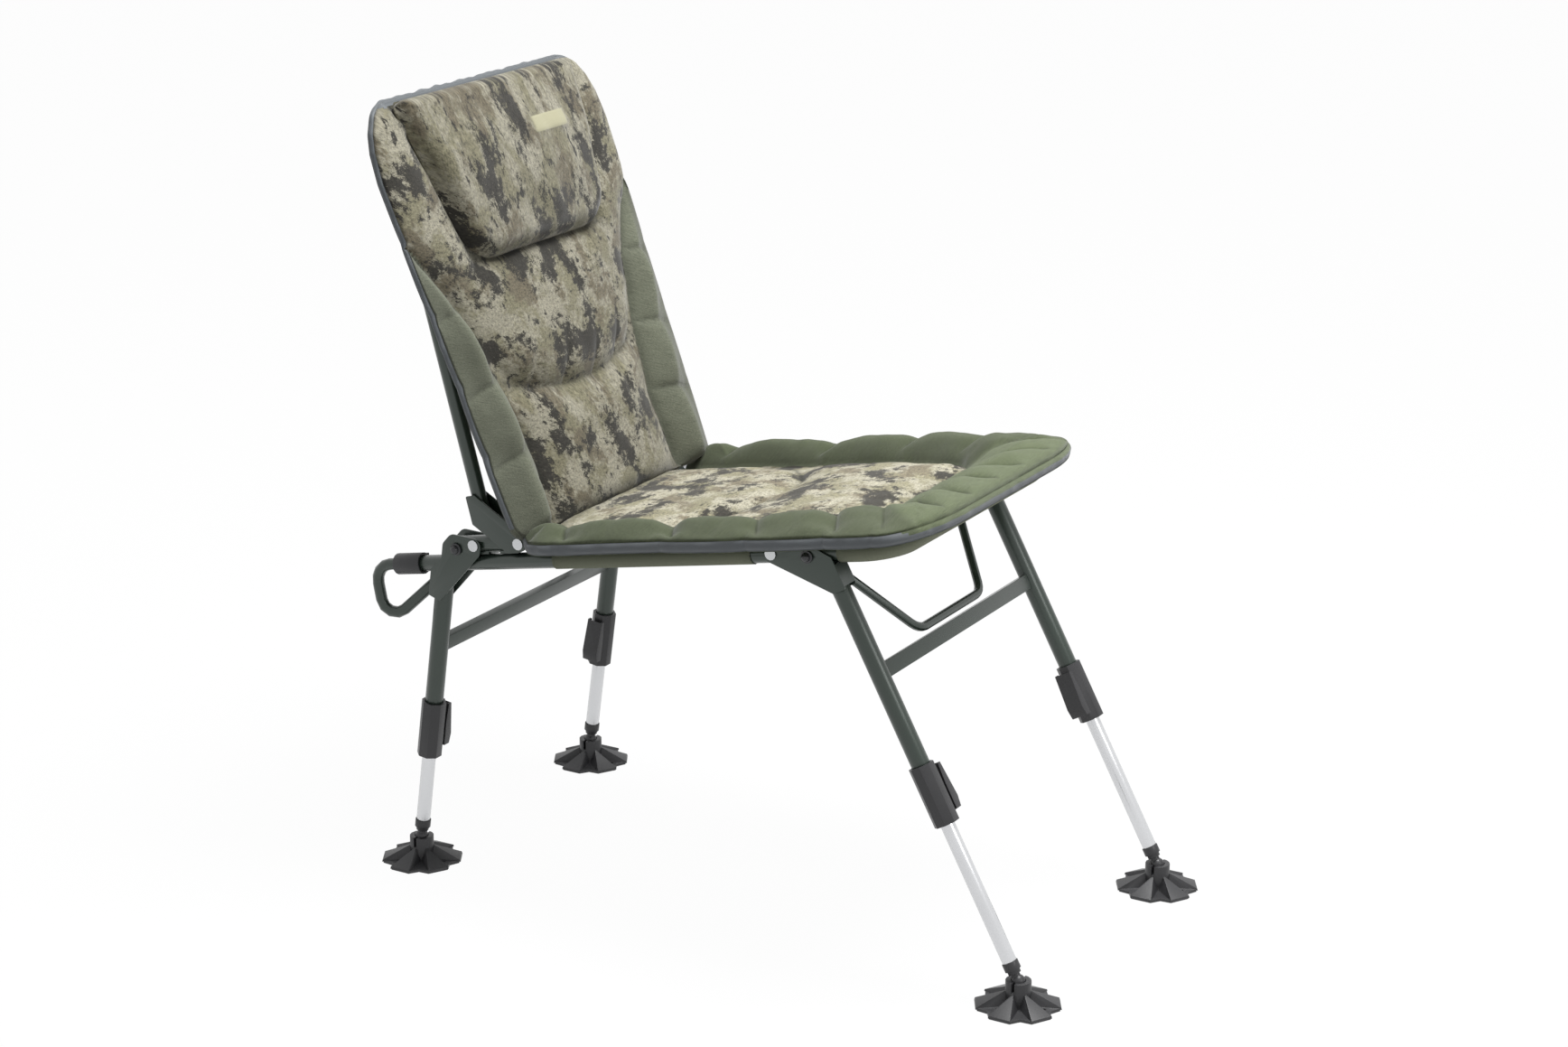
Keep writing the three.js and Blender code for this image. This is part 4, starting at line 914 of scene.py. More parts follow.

    # Painted shade: dark lines at the tucks and seams, the side rolls darkened where the light reaches them
    # weakly, and the rear end under the back pad
    def fold(self, u, v):
        x, y = self.flat(u, v)
        station = -y
        side, front, panel, share = self.seen_from_rim(x, station)
        along, across, in_front = self.tuck_places(x, station, side, front, share)
        on_roll = panel < 0
        side_lines = tuck_line(along, self.side_tucks) * (1 - smooth(share, *self.line_end_shares))
        lines = mix(side_lines, tuck_line(across, self.front_tucks), in_front)
        lines = lines * on_roll * smooth(share, *self.line_rim_shares)
        outer_shade, more_shade = self.wall_shade_shares
        wall = (outer_shade + more_shade * smooth(share, *self.wall_reach_shares)) * on_roll * (1 - in_front)
        seam = self.panel_shade_share * fade(np.abs(panel), self.shade_width)
        cross = fade(np.abs(self.seam_gap(x, station)), self.shade_width)
        cross *= smooth(panel, 0, self.cross_shade_inside) * smooth(np.abs(x), 0, self.cross_shade_side)
        rear = 1 - smooth(station - self.padding.seat_rear, 0, self.rear_shade_length)
        shades = [lines, seam, wall, self.cross_shade_share * cross, self.rear_shade_share * rear]
        return np.maximum.reduce(shades)

    def floor(self, u, v):
        return np.full_like(u, self.padding.pad_floor)


class CHAIR_OT_seat_pad(bpy.types.Operator):
    """Sew the seat pad: a green border roll, a camo panel and a satin binding"""

    bl_idname = "chair.seat_pad"
    bl_label = "Seat pad"

    def execute(self, context):
        shape = SeatPadShape(context.scene.chair_padding)
        pad = padded_form("seat_pad", shape, RIM_RINGS, SEAT, "seat_cover")
        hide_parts("seat_cushion")
        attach(pad, "seat")
        return {"FINISHED"}


# The head pillow

# Rings of the pillow's rim, each as (outward, share of the drop)
PILLOW_RINGS = (
    (0.0016, 0.2),
    (0.0022, 0.5),
    (0.0008, 0.85),
    (0.0, 1.0),
)


class PillowShape(PadShape):
    """A pillow that narrows downwards, with round lower corners."""

    top_half_width = 0.2
    ends = (0.345, 0.573)
    end_corners = ((0.055, 0.05), (0.016, 0.016))
    foot_width_share = 0.74
    widening_power = 0.9
    hollow_share = 0.025
    base = 0.0115
    edge_thickness = 0.006
    thickness = 0.036
    crown = 0.008
    edge_round = 0.026
    top_slope = 1.6
    top_edge = 0.004
    top_thickness_share = 0.74
    top_reach = (0.2, 1.0)
    slack_waves = ((0.05, 0.0030, 11), (0.02, 0.0010, 12))
    tab_place = (0.070, 0.496)
    tab_half_size = (0.040, 0.0115)
    tab_thickness = 0.0012
    tab_edge = (0.45, 0.55)

    def __init__(self, padding):
        super().__init__(self.top_half_width, *self.ends, self.end_corners, padding.grid_size)

    def spread(self, y):
        share = np.clip((y - self.low) / (self.high - self.low), 0, 1)
        hollow = self.hollow_share * np.sin(np.pi * share)
        return mix(self.foot_width_share, 1.0, share ** self.widening_power) - hollow

    def distance_outside(self, x, height):
        """How far a place on the back pad lies outside the pillow."""
        return np.maximum(np.abs(x) - self.half_width * self.spread(height), self.low - height)

    def tape_start(self, u, v):
        return np.full_like(u, NO_TAPE)

    def face_tape(self, u, v):
        """Over 0.5 on the tab."""
        x, height = self.outline(u, v)
        across = np.abs(x - self.tab_place[0]) / self.tab_half_size[0]
        along = np.abs(height - self.tab_place[1]) / self.tab_half_size[1]
        return 1 - 0.5 * np.maximum(across, along)

    def top(self, u, v):
        x, height = self.outline(u, v)
        flat_x, flat_y = self.flat(u, v)
        side = self.half_width - np.abs(flat_x)
        top_gap = self.top_slope * (self.high - flat_y) + self.top_edge
        rim = np.minimum(np.minimum(side, flat_y - self.low), top_gap)
        crown = self.crown * np.cos(u * math.pi / 2) * np.cos(v * math.pi / 2)
        puff = self.thickness - self.edge_thickness + crown + self.slack(x, height)
        puff *= quarter_round(rim / self.edge_round)
        puff *= mix(1.0, self.top_thickness_share, smooth(v, *self.top_reach))
        tab = self.tab_thickness * smooth(self.face_tape(u, v), *self.tab_edge)
        return self.base + self.edge_thickness + puff + tab, np.ones_like(u)

    def floor(self, u, v):
        return np.full_like(u, self.base)


class CHAIR_OT_head_pillow(bpy.types.Operator):
    """Sew the head pillow and its plain tab"""

    bl_idname = "chair.head_pillow"
    bl_label = "Head pillow"

    def execute(self, context):
        shape = PillowShape(context.scene.chair_padding)
        pillow = padded_form("pillow", shape, PILLOW_RINGS, BACK, "camo_fleece")
        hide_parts("head_pillow")
        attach(pillow, "backrest")
        return {"FINISHED"}


# The back pad

# Half the width of the camo panel and of the whole pad at heights up the back
PANEL_HEIGHTS = (0, 0.015, 0.1, 0.19, 0.235, 0.29, 0.386, 0.43)
PANEL_HALVES = (0.156, 0.155, 0.150, 0.165, 0.180, 0.195, 0.251, 0.29)
BACK_HEIGHTS = (0, 0.08, 0.18, 0.27, 0.39, 0.48, 0.52, 0.545, 0.565, 0.583)
BACK_HALVES = (0.240, 0.245, 0.248, 0.252, 0.259, 0.262, 0.257, 0.248, 0.234, 0.212)


class BackPadShape(PadShape):
    """Camo middle that widens to the full width above, with raised green wings below."""

    # The outline and its rim
    middle_half_width = 0.25
    ends = (-0.0135, 0.581)
    end_corners = ((0.022, 0.022), (0.014, 0.012))
    tuck_share = 0.012
    rim_seed = 5
    rim_swell_share = 0.9
    bare_foot = 0.02
    lap_width = 0.0065
    lap_wave = 0.0028
    lap_wave_rate = 75

    # The wings
    edge_rise = 0.010
    seam_rise = 0.003
    thin_wing = 0.004
    full_wing = (-0.02, 0.035)
    wing_tucks = (-0.12, -0.03, 0.105, 0.20, 0.30, 0.40, 0.6)
    wing_tuck_slope = 0.25
    wing_tuck_depth = 0.0085
    wing_tuck_reach = (0.01, 0.05)
    wing_tuck_power = 3
    ridge_lean_power = 0.85
    ridge_round = 0.012
    ridge_reach = (0.008, 0.07)
    ridge_crests = (0.024, 0.034)
    ridge_heights = (0.1, 0.35)

    # The camo face
    upper_crown = 0.014
    upper_round = 0.013
    lower_crown = 0.030
    lower_round = 0.042
    seam_height = 0.19
    seam_hang = 0.036
    seam_half = 0.165
    seam_depth = 0.017
    seam_widths = (0.017, 0.024)
    seam_soft_share = 0.35
    seam_inside = 0.012
    seam_side_share = 0.7
    seam_side = 0.15
    seam_tucks = (-0.3, -0.16, -0.105, -0.04, 0.03, 0.095, 0.16, 0.3)
    seam_tuck_slope = 0.3
    seam_tuck_depth = 0.0045
    seam_tuck_width = 0.045
    seam_tuck_inside = 0.02
    hollow_depth = 0.011
    hollow_width = 0.013
    hollow_heights = (0.27, 0.33)
    slack_waves = ((0.06, 0.0030, 7), (0.022, 0.0011, 8))
    slack_reach = 0.02
    least_rise = 0.0035
    foot_rise = 0.012
    foot_round = 0.022
    foot_share = 0.2

    # The back tube, which lies in a pocket
    tube_offset = 0.053
    tube_top = 0.572
    tube_bend = 0.06
    cover_radius = 0.0135
    cover_blend = 0.005
    cover_none = -0.1
    pocket_radius = 0.0125
    pocket_heights = (0.36, 0.40)
    pocket_swell = 0.004
    pocket_reach = 0.03

    # Painted shade: in the folds and seams, under the head pillow, at the foot and on the wings' outer
    # halves
    tuck_shade_share = 0.6
    tuck_shade_power = 4
    panel_shade_share = 0.8
    panel_shade_width = 0.005
    panel_shade_wing = 0.02
    outer_shade_share = 0.4
    outer_reach_shares = (0.45, 0.62)
    cross_shade_share = 0.85
    cross_shade_width = 0.006
    cross_shade_inside = 0.01
    pillow_shade_share = 0.9
    pillow_shade_width = 0.008
    foot_shade_share = 0.8
    foot_shade_height = 0.03

    def __init__(self, padding):
        self.pillow = PillowShape(padding)
        super().__init__(self.middle_half_width, *self.ends, self.end_corners, padding.grid_size)

    def spread(self, y):
        drawn_in = 1 - self.tuck_share * (1 - lobes(y, self.wing_tucks))
        return self.half_at(y) / self.half_width * drawn_in

    def half_at(self, height):
        return np.interp(height, BACK_HEIGHTS, BACK_HALVES)

    def panel_half(self, height):
        return np.interp(height, PANEL_HEIGHTS, PANEL_HALVES)

    def tape_start(self, u, v):
        """There is no tape along the foot of the pad, which rests on the seat."""
        y = self.flat(u, v)[1]
        return np.where(y < self.low + self.bare_foot, NO_TAPE, self.wall_tape_share)

    def face_tape(self, u, v):
        """The tape laps over the top edge in waves."""
        x, y = self.flat(u, v)
        lap = self.lap_width + self.lap_wave * np.sin(x * self.lap_wave_rate)
        return (self.high - y < lap).astype(float)

    def rim_panel(self, u, v):
        x, height = self.outline(u, v)
        return self.panel_half(height) - np.abs(x)

    def seam_gap(self, x, height):
        """Distance above the seam across the panel, which hangs low in the middle."""
        return height - (self.seam_height - self.seam_hang * np.clip(1 - (x / self.seam_half) ** 2, 0, 1))

    def wing_places(self, x, height):
        """Distance inside the panel's seam, the wing's width, and the share across the wing."""
        panel = self.panel_half(height) - np.abs(x)
        wing = self.half_at(height) - self.panel_half(height)
        return panel, wing, np.clip(-panel / np.maximum(wing, self.thin_wing), 0, 1)

    def tuck_place(self, height, wing, across):
        return height + self.wing_tuck_slope * across * wing

    def wing_rise(self, height, wing, across):
        """A roof-like wing: a ridge between the panel seam and the thin rim."""
        roof = 1 - np.sqrt((2 * across ** self.ridge_lean_power - 1) ** 2 + self.ridge_round)
        ridge = (roof + self.ridge_round / 2) * smooth(wing, *self.ridge_reach)
        crest = mix(*self.ridge_crests, 1 - smooth(height, *self.ridge_heights))
        tucks = 1 - lobes(self.tuck_place(height, wing, across), self.wing_tucks)
        tucks *= smooth(wing, *self.wing_tuck_reach)
        sunk = self.wing_tuck_depth * tucks * (1 - np.abs(2 * across - 1) ** self.wing_tuck_power)
        return mix(self.seam_rise, self.edge_rise, across) + crest * ridge - sunk

    def panel_rise(self, x, height, panel, side, top_gap, winged):
        """The camo face: two pillows below, and a low frame round the head pillow above."""
        lower = 1 - fade(np.minimum(panel, top_gap), self.lower_round)
        upper = 1 - fade(np.minimum(side, top_gap), self.upper_round)
        upper_rise = self.edge_rise + self.upper_crown * upper
        rise = mix(upper_rise, self.seam_rise + self.lower_crown * lower, winged)
        gap = self.seam_gap(x, height)
        sharp_width, soft_width = self.seam_widths
        seam = mix(fade(np.abs(gap), sharp_width), bump(gap, soft_width), self.seam_soft_share)
        seam *= smooth(panel, 0, self.seam_inside)
        rise -= self.seam_depth * seam * mix(1.0, self.seam_side_share, smooth(x, 0, self.seam_side))
        tucks = 1 - lobes(x - self.seam_tuck_slope * gap, self.seam_tucks)
        tucks *= bump(gap, self.seam_tuck_width) * smooth(panel, 0, self.seam_tuck_inside)
        around = fade(self.pillow.distance_outside(x, height), self.hollow_width)
        hollow = around * smooth(height, *self.hollow_heights)
        return rise - self.seam_tuck_depth * tucks - self.hollow_depth * hollow

    def top(self, u, v):
        x, height = self.outline(u, v)
        flat_x, flat_y = self.flat(u, v)
        side = self.half_width - np.abs(flat_x)
        top_gap = self.high - flat_y
        panel, wing, across = self.wing_places(x, height)
        winged = smooth(wing, *self.full_wing)
        face = self.panel_rise(x, height, panel, side, top_gap, winged)
        z = np.where(panel > 0, face, self.wing_rise(height, wing, across))
        z += self.slack(x, height) * smooth(np.minimum(side, top_gap), 0, self.slack_reach)
        z = np.maximum(soft_max(z, self.tube_cover(x, height), self.cover_blend), self.least_rise)
        foot = quarter_round((flat_y - self.low) / self.foot_round)
        return mix(self.foot_rise, z, mix(self.foot_share, 1.0, foot)), panel

    # Painted shade: lines at the wings' tucks and the panel's seams, under the head pillow, at the foot, and
    # on the wings' outer halves, which face away from the light
    def fold(self, u, v):
        x, height = self.outline(u, v)
        panel, wing, across = self.wing_places(x, height)
        on_wing = panel < 0
        tucks = tuck_line(self.tuck_place(height, wing, across), self.wing_tucks) * on_wing
        tucks *= self.tuck_shade_share * (1 - across ** self.tuck_shade_power)
        seam = fade(np.abs(panel), self.panel_shade_width) * smooth(wing, 0, self.panel_shade_wing)
        outer = smooth(across, *self.outer_reach_shares) * on_wing
        cross = fade(np.abs(self.seam_gap(x, height)), self.cross_shade_width)
        cross *= smooth(panel, 0, self.cross_shade_inside)
        around = fade(self.pillow.distance_outside(x, height), self.pillow_shade_width)
        under = around * smooth(height, *self.hollow_heights)
        foot = 1 - smooth(height - self.low, 0, self.foot_shade_height)
        return np.maximum.reduce([
            tucks,
            self.panel_shade_share * seam,
            self.outer_shade_share * outer,
            self.cross_shade_share * cross,
            self.pillow_shade_share * under,
            self.foot_shade_share * foot,
        ])

    def floor(self, u, v):
        """The rear face swells over the back tube, which lies in its pocket."""
        return -self.pocket(*self.outline(u, v))

    def tube_cover(self, x, height):
        """The cloth that lies over the front of the back tube, where the tube runs inside the pad."""
        over = self.tube_rise(self.tube_gap(x, height), self.cover_radius)
        return np.where(over > 0, over - self.behind(height), self.cover_none)

    def tube_rise(self, gap, radius):
        """How far a round tube of that radius rises over its middle line."""
        return np.sqrt(np.clip(radius ** 2 - gap ** 2, 0, None))

    def tube_gap(self, x, height):
        """Distance from the middle line of the back tube, seen square to the pad."""
        side_gap = np.abs(np.abs(x) - TUBE_HALF_WIDTH)
        corner_x = np.maximum(np.abs(x) - (TUBE_HALF_WIDTH - self.tube_bend), 0)
        rise = self.tube_height(height)
        corner_y = np.maximum(rise - (self.tube_top - self.tube_bend), 0)
        corner = np.abs(np.hypot(corner_x, corner_y) - self.tube_bend)
        level = np.abs(rise - self.tube_top)
        gap = np.where((corner_x > 0) & (corner_y > 0), corner, np.where(corner_x > 0, side_gap, level))
        return np.where((corner_x <= 0) & (corner_y <= 0), np.minimum(side_gap, level), gap)

    def pocket(self, x, height):
        gap = self.tube_gap(x, height)
        over = self.tube_rise(gap, self.pocket_radius) + self.behind(height)
        shown = smooth(height, *self.pocket_heights)
        soft = bump(gap, self.pocket_reach) * self.pocket_swell
        return np.clip(np.where(gap < self.pocket_radius, over, 0), 0, None) * shown + soft * shown

    def tube_height(self, height):
        """Height along the back tubes for a height along the pad."""
        return CUSHION_OFFSET.z + height * math.cos(CUSHION_LEAN)

    def behind(self, height):
        """How far the tubes' axis lies behind the pad's rear face."""
        level = (self.tube_offset - CUSHION_OFFSET.y) * math.cos(CUSHION_LEAN)
        return level - (self.tube_height(height) - CUSHION_OFFSET.z) * math.sin(CUSHION_LEAN)


class CHAIR_OT_back_pad(bpy.types.Operator):
    """Sew the back pad: a camo middle, green wings and a satin binding"""

    bl_idname = "chair.back_pad"
    bl_label = "Back pad"

    def execute(self, context):
        shape = BackPadShape(context.scene.chair_padding)
        pad = padded_form("back_pad", shape, RIM_RINGS, BACK, "back_cover")
        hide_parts("back_cushion")
        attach(pad, "backrest")
        return {"FINISHED"}


# The sling under the seat pad

SLING_REAR = 0.12
SIDE_SLEEVE_END = 0.424
NOTCH_END = 0.550
FRONT_STRIP_END = 0.580
SLING_NOTCH_HALF = 0.19
SEAT_TUBE_FRONT = 0.625
SEAT_TUBE_BEND = 0.045
CLOTH_THICKNESS = 0.0008
CLOTH_GAP = 0.001
SLEEVE_RADIUS = SEAT_TUBE_RADIUS + CLOTH_GAP
SLEEVE_TURN = math.radians(350)
SLEEVE_STEPS = 16
SLING_FLAT_STEPS = 12
SLING_ROW_LENGTH = 0.02
SLEEVE_BEND_STEPS = 8


def sling_section(half_width, wraps):
    """Points (x, rise, run) across the sling: flat in the middle, round the tubes at its ends."""
    points = []
    for step in range(SLING_FLAT_STEPS + 1):
        x = mix(-half_width, half_width, step / SLING_FLAT_STEPS)
        points.append((x, SLEEVE_RADIUS, x))
    if not wraps:
        return points
    arc = []
    for step in range(1, SLEEVE_STEPS + 1):
        angle = SLEEVE_TURN * step / SLEEVE_STEPS
        arc.append((SLEEVE_RADIUS * math.sin(angle), SLEEVE_RADIUS * math.cos(angle), SLEEVE_RADIUS * angle))
    right = [(half_width + dx, rise, half_width + run) for dx, rise, run in arc]
    left = [(-half_width - dx, rise, -half_width - run) for dx, rise, run in reversed(arc)]
    return left + points + right


def cloth_grid(bm, uv, columns, rows, place):
    """A grid of cloth; place gives a vertex's position and its place on the flat cloth."""
    half = 0.5
    verts = bmesh.ops.create_grid(bm, x_segments=columns, y_segments=rows, size=half)["verts"]
    flat = {}
    for vert in verts:
        column = round((vert.co.x + half) * columns)
        row = round((vert.co.y + half) * rows)
        vert.co, flat[vert] = place(column, row)
    for face in {face for vert in verts for face in vert.link_faces}:
        face.smooth = True
        for loop in face.loops:
            loop[uv].uv = flat[loop.vert]


def sling_strip(bm, uv, start, end, half_width, wraps=False):
    """A stretch of the sling between two stations; returns its area."""
    section = sling_section(half_width, wraps)
    rows = max(2, round((end - start) / SLING_ROW_LENGTH))

    def place(column, row):
        x, rise, run = section[column]
        station = mix(start, end, row / rows)
        return (x, -station, rise), (run, station)

    cloth_grid(bm, uv, len(section) - 1, rows, place)
    return (section[-1][2] - section[0][2]) * (end - start)


def front_sleeve(bm, uv):
    """The sleeve that follows the seat tube round its front corners; returns its area."""
    middle_x, middle_y = TUBE_HALF_WIDTH - SEAT_TUBE_BEND, SEAT_TUBE_FRONT - SEAT_TUBE_BEND
    # The path's points are (x, station, outward x, outward station)
    path = [(TUBE_HALF_WIDTH, NOTCH_END, 1.0, 0.0)]
    for step in range(SLEEVE_BEND_STEPS + 1):
        turn = math.pi / 2 * step / SLEEVE_BEND_STEPS
        out_x, out_y = math.cos(turn), math.sin(turn)
        path.append((middle_x + SEAT_TUBE_BEND * out_x, middle_y + SEAT_TUBE_BEND * out_y, out_x, out_y))
    path += [(-x, station, -out_x, out_y) for x, station, out_x, out_y in reversed(path)]
    steps = [math.dist(here[:2], there[:2]) for here, there in zip(path, path[1:])]
    runs = np.concatenate([[0], np.cumsum(steps)])
    girth = 2 * math.pi * SLEEVE_RADIUS

    def place(column, row):
        x, station, out_x, out_y = path[row]
        angle = 2 * math.pi * column / SLEEVE_STEPS
        out, rise = SLEEVE_RADIUS * math.sin(angle), SLEEVE_RADIUS * math.cos(angle)
        return (x + out_x * out, -station - out_y * out, rise), (girth * column / SLEEVE_STEPS, runs[row])

    cloth_grid(bm, uv, SLEEVE_STEPS, len(path) - 1, place)
    return girth * runs[-1]


class CHAIR_OT_seat_sling(bpy.types.Operator):
    """Stretch the green sling between the seat tubes, with a sleeve round each"""

    bl_idname = "chair.seat_sling"
    bl_label = "Seat sling"

    def execute(self, context):
        bm = bmesh.new()
        uv = bm.loops.layers.uv.new("cloth")
        area = sling_strip(bm, uv, SLING_REAR, SIDE_SLEEVE_END, TUBE_HALF_WIDTH, wraps=True)
        area += sling_strip(bm, uv, SIDE_SLEEVE_END, NOTCH_END, SLING_NOTCH_HALF)
        area += sling_strip(bm, uv, NOTCH_END, FRONT_STRIP_END, TUBE_HALF_WIDTH)
        area += sling_strip(bm, uv, FRONT_STRIP_END, SEAT_TUBE_FRONT, TUBE_HALF_WIDTH - SEAT_TUBE_BEND)
        area += front_sleeve(bm, uv)
        bmesh.ops.remove_doubles(bm, verts=bm.verts, dist=MERGE_GAP)
        bmesh.ops.recalc_face_normals(bm, faces=bm.faces)
        bmesh.ops.transform(bm, matrix=SEAT, verts=bm.verts)
        sling = finished_object(bm, "sling", "sling_cloth")
        wall = sling.modifiers.new("Cloth thickness", "SOLIDIFY")
        wall.thickness = CLOTH_THICKNESS
        wall.offset = 0
        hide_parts("seat_sling")
        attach(sling, "seat")
        return {"FINISHED"}


# Finishes of the CAD nodes

SOFT_NODES = ("seat_cushion", "back_cushion", "head_pillow", "seat_sling")
TUBE_FINISH = "satin_paint"
FINISHES = {
    "bare_aluminium": ("inner_leg",),
    "plated_steel": ("rivet",),
    "gloss_button": ("lock_button",),
    "black_nylon": ("lock_sleeve", "lock_lever", "clamp", "ferrule", "ball_stem", "foot_pad"),
}
EDGE_WIDTH = 0.0005
EDGE_SEGMENTS = 2
EDGE_ANGLE = math.radians(34)
SMOOTH_ANGLE = math.radians(32)


def finish_of(node_name):
    """The first finish with a word that is in the node's name, or else the tubes' paint."""
    for material, words in FINISHES.items():
        if any(word in node_name for word in words):
            return material
    return TUBE_FINISH


def smooth_edges_group():
    """Geometry nodes that shade a mesh smooth, except across its sharp edges."""
    group = bpy.data.node_groups.new("smooth_edges", "GeometryNodeTree")
    group.interface.new_socket("Geometry", in_out="INPUT", socket_type="NodeSocketGeometry")
    group.interface.new_socket("Geometry", in_out="OUTPUT", socket_type="NodeSocketGeometry")
    r = Recipe(group)
    entry = r.add("NodeGroupInput").outputs[0]
    bare = r.add("GeometryNodeRemoveAttribute", {"Geometry": entry, "Name": "custom_normal"}).outputs[0]
    angle = r.add("GeometryNodeInputMeshEdgeAngle").outputs[0]
    flat = r.add("FunctionNodeCompare", {0: angle, 1: SMOOTH_ANGLE}, operation="LESS_THAN").outputs[0]
    faces = r.add("GeometryNodeSetShadeSmooth", {0: bare, 2: True}, domain="FACE").outputs[0]
    edges = r.add("GeometryNodeSetShadeSmooth", {0: faces, 2: flat}, domain="EDGE").outputs[0]
    r.feed(r.add("NodeGroupOutput").inputs[0], edges)
    return group


class CHAIR_OT_finishes(bpy.types.Operator):
    """Give every CAD node its finish and soften its edges"""

    bl_idname = "chair.finishes"
    bl_label = "Frame finishes"

    def execute(self, context):
        shading = smooth_edges_group()
        for name, node in frame["nodes"].items():
            if name in SOFT_NODES:
                continue
            node.data.materials.clear()
            node.data.materials.append(bpy.data.materials[finish_of(name)])
            weld = node.modifiers.new("Weld", "WELD")
            weld.merge_threshold = MERGE_GAP
            bevel = node.modifiers.new("Edges", "BEVEL")
            bevel.width = EDGE_WIDTH
            bevel.segments = EDGE_SEGMENTS
            bevel.limit_method = "ANGLE"
            bevel.angle_limit = EDGE_ANGLE
            bevel.use_clamp_overlap = True
            shade = node.modifiers.new("Shading", "NODES")
            shade.node_group = shading
        return {"FINISHED"}


# The stage

CAMERA_AZIMUTH = math.radians(29.943)
CAMERA_FALL = math.radians(17.678)
CAMERA_ROLL = math.radians(0.21)
CAMERA_FROM_PIVOT = Vector((-3.6988, -2.4720, 1.3847))
SENSOR_WIDTH_MM = 36
KEY_PLACE, KEY_AIM, KEY_SIZE = (0.3, -0.6, 3.4), (0, -0.1, 0.4), 1.3
FILL_PLACE, FILL_AIM, FILL_SIZE = (-0.4, -3.3, 1.9), (0, 0, 0.5), 1.2
FLOOR_HALF_SIZE = 12
FLOOR_COLOUR = (0.8, 0.8, 0.8, 1)
FLOOR_GLOW_SHARE = 0.97


def camera_place():
    level = math.cos(CAMERA_FALL)
    ahead_x, ahead_y = math.cos(CAMERA_AZIMUTH) * level, math.sin(CAMERA_AZIMUTH) * level
    view = Vector((ahead_x, ahead_y, -math.sin(CAMERA_FALL)))
    right = view.cross(Vector((0, 0, 1))).normalized()
    up = right.cross(view)
    rolled_right = right * math.cos(CAMERA_ROLL) + up * math.sin(CAMERA_ROLL)
    rolled_up = up * math.cos(CAMERA_ROLL) - right * math.sin(CAMERA_ROLL)
    turn = Matrix((rolled_right, rolled_up, -view)).transposed().to_4x4()
    rear = JOINTS["rear_legs_fold"]
    return Matrix.Translation(CAMERA_FROM_PIVOT + Vector((0, rear.y, rear.z))) @ turn


def area_lamp(name, place, aim, size, power):
    lamp = bpy.data.lights.new(name, "AREA")
    lamp.shape = "SQUARE"
    lamp.size = size
    lamp.energy = power
    holder = new_object(name, lamp)
    holder.location = place
    holder.rotation_euler = (Vector(aim) - Vector(place)).to_track_quat("-Z", "Y").to_euler()


def white_room(strength):
    """A world that looks white but lights the object only by its strength."""
    world = bpy.data.worlds.new("studio")
    world.use_nodes = True
    world.node_tree.nodes.clear()
    r = Recipe(world.node_tree)
    path = r.add("ShaderNodeLightPath").outputs
    seen = r.math("MAXIMUM", path["Is Camera Ray"], path["Is Glossy Ray"])
    seen = r.math("MAXIMUM", seen, path["Is Transmission Ray"])
    power = r.between(seen, strength, 1.0)
    background = r.add("ShaderNodeBackground", {"Color": WHITE, "Strength": power})
    out = r.add("ShaderNodeOutputWorld")
    r.feed(out.inputs[0], background.outputs[0])
    return world


def lay_floor():
    """A floor that looks white, but keeps a little of the object's shadow."""
    r = new_material("white_floor")
    path = r.add("ShaderNodeLightPath").outputs
    shadow = r.add("ShaderNodeBsdfDiffuse", {"Color": WHITE}).outputs[0]
    glow = r.add("ShaderNodeEmission", {"Color": WHITE, "Strength": 1.0}).outputs[0]
    shown = r.add("ShaderNodeMixShader", {0: FLOOR_GLOW_SHARE, 1: shadow, 2: glow}).outputs[0]
    unseen = r.add("ShaderNodeBsdfDiffuse", {"Color": FLOOR_COLOUR}).outputs[0]
    seen = r.math("MAXIMUM", path["Is Camera Ray"], path["Is Glossy Ray"])
    pick = r.add("ShaderNodeMixShader", {0: seen, 1: unseen, 2: shown}).outputs[0]
    out = r.add("ShaderNodeOutputMaterial")
    r.feed(out.inputs[0], pick)
    bm = bmesh.new()
    bmesh.ops.create_grid(bm, x_segments=1, y_segments=1, size=FLOOR_HALF_SIZE)
    floor = finished_object(bm, "floor", "white_floor")


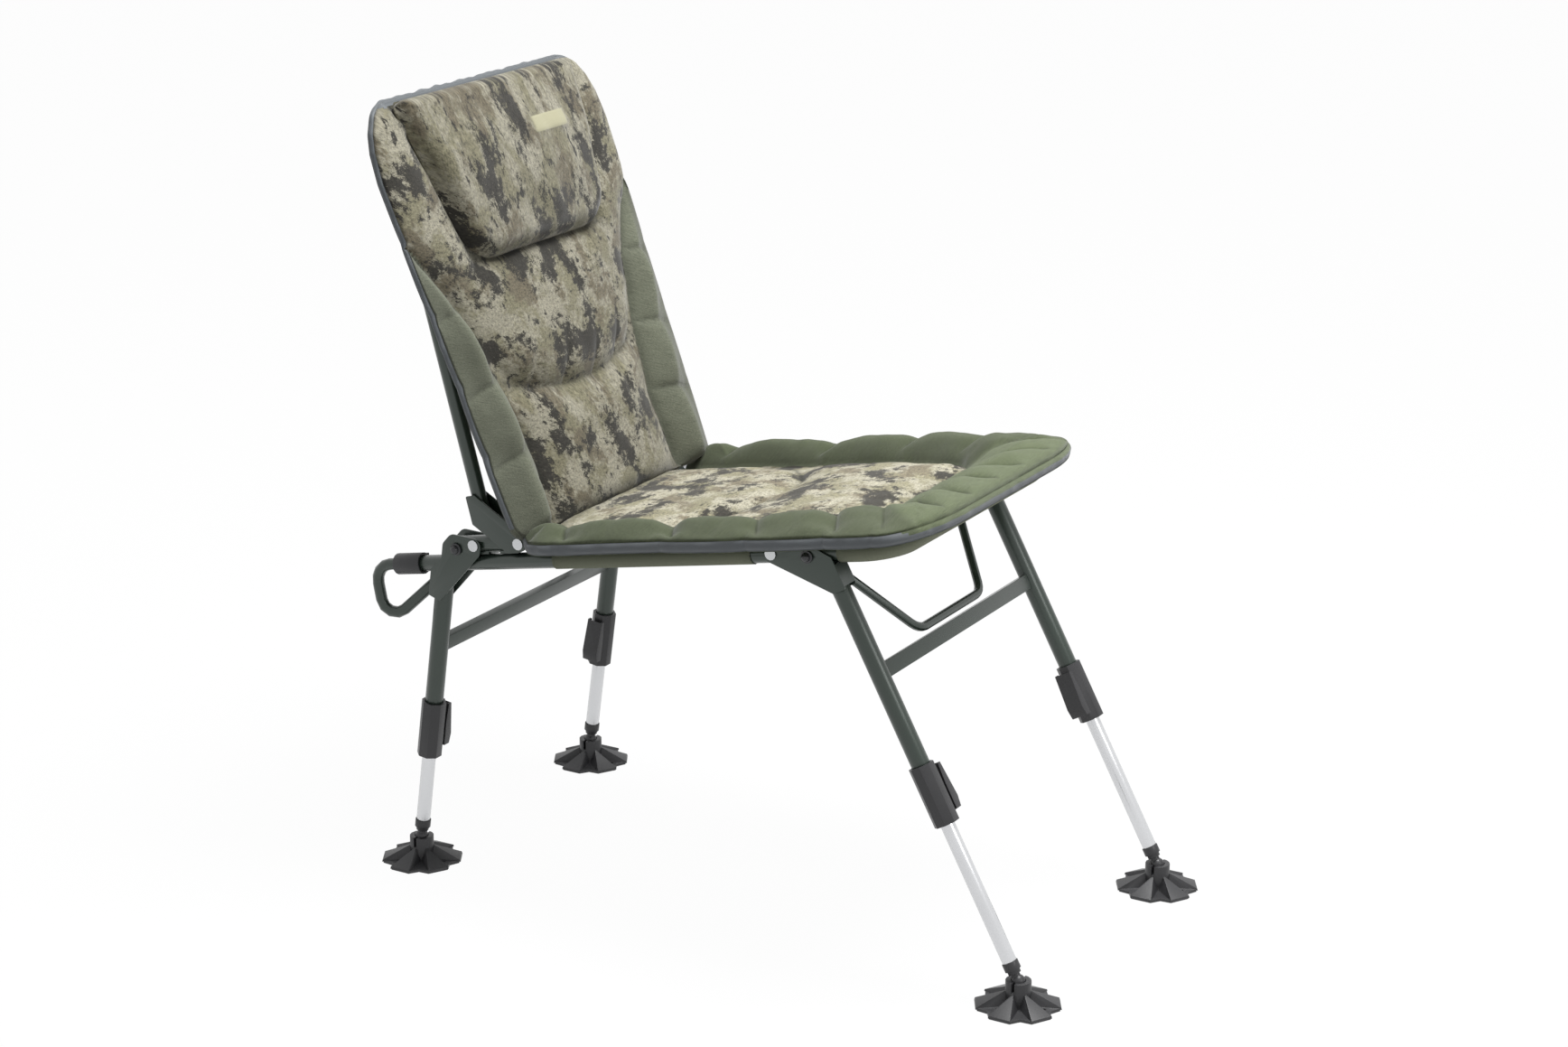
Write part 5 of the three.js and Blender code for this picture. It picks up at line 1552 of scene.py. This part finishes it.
class CHAIR_OT_stage(bpy.types.Operator):
    """Set the white floor, the studio light and the camera"""

    bl_idname = "chair.stage"
    bl_label = "Stage"

    def execute(self, context):
        scene = context.scene
        stage = scene.chair_stage
        scene.world = white_room(stage.world_light)
        scene.view_settings.view_transform = "Standard"
        camera = bpy.data.cameras.new("camera")
        camera.sensor_width = SENSOR_WIDTH_MM
        camera.lens = stage.lens
        holder = new_object("camera", camera)
        holder.matrix_world = camera_place()
        scene.camera = holder
        area_lamp("key", KEY_PLACE, KEY_AIM, KEY_SIZE, stage.key_power)
        area_lamp("fill", FILL_PLACE, FILL_AIM, FILL_SIZE, stage.fill_power)
        lay_floor()
        return {"FINISHED"}


class CHAIR_PT_panel(bpy.types.Panel):
    """Shows the chair's settings and lists its pieces"""

    bl_idname = "CHAIR_PT_panel"
    bl_label = "Carp fishing chair"
    bl_space_type = "VIEW_3D"
    bl_region_type = "UI"
    bl_category = "Chair"

    def draw(self, context):
        for name, group in SETTINGS.items():
            box = self.layout.box()
            for setting in group.__annotations__:
                box.prop(getattr(context.scene, name), setting)
        for step in PIECES:
            self.layout.operator(step.bl_idname)


PIECES = (
    CHAIR_OT_seat_pad,
    CHAIR_OT_back_pad,
    CHAIR_OT_head_pillow,
    CHAIR_OT_seat_sling,
    CHAIR_OT_finishes,
    CHAIR_OT_stage,
)
SETTINGS = {"chair_colours": ChairColours, "chair_padding": ChairPadding, "chair_stage": ChairStage}
CLASSES = (*SETTINGS.values(), *PIECES, CHAIR_PT_panel)


def register():
    for cls in CLASSES:
        bpy.utils.register_class(cls)
    for name, group in SETTINGS.items():
        setattr(bpy.types.Scene, name, bpy.props.PointerProperty(type=group))


def unregister():
    for name in SETTINGS:
        delattr(bpy.types.Scene, name)
    for cls in reversed(CLASSES):
        bpy.utils.unregister_class(cls)


def main():
    register()
    make_materials(bpy.context.scene.chair_colours)
    bpy.ops.chair.seat_pad()
    bpy.ops.chair.back_pad()
    bpy.ops.chair.head_pillow()
    bpy.ops.chair.seat_sling()
    bpy.ops.chair.finishes()
    bpy.ops.chair.stage()
    bpy.context.view_layer.update()


if __name__ == "__main__":
    main()
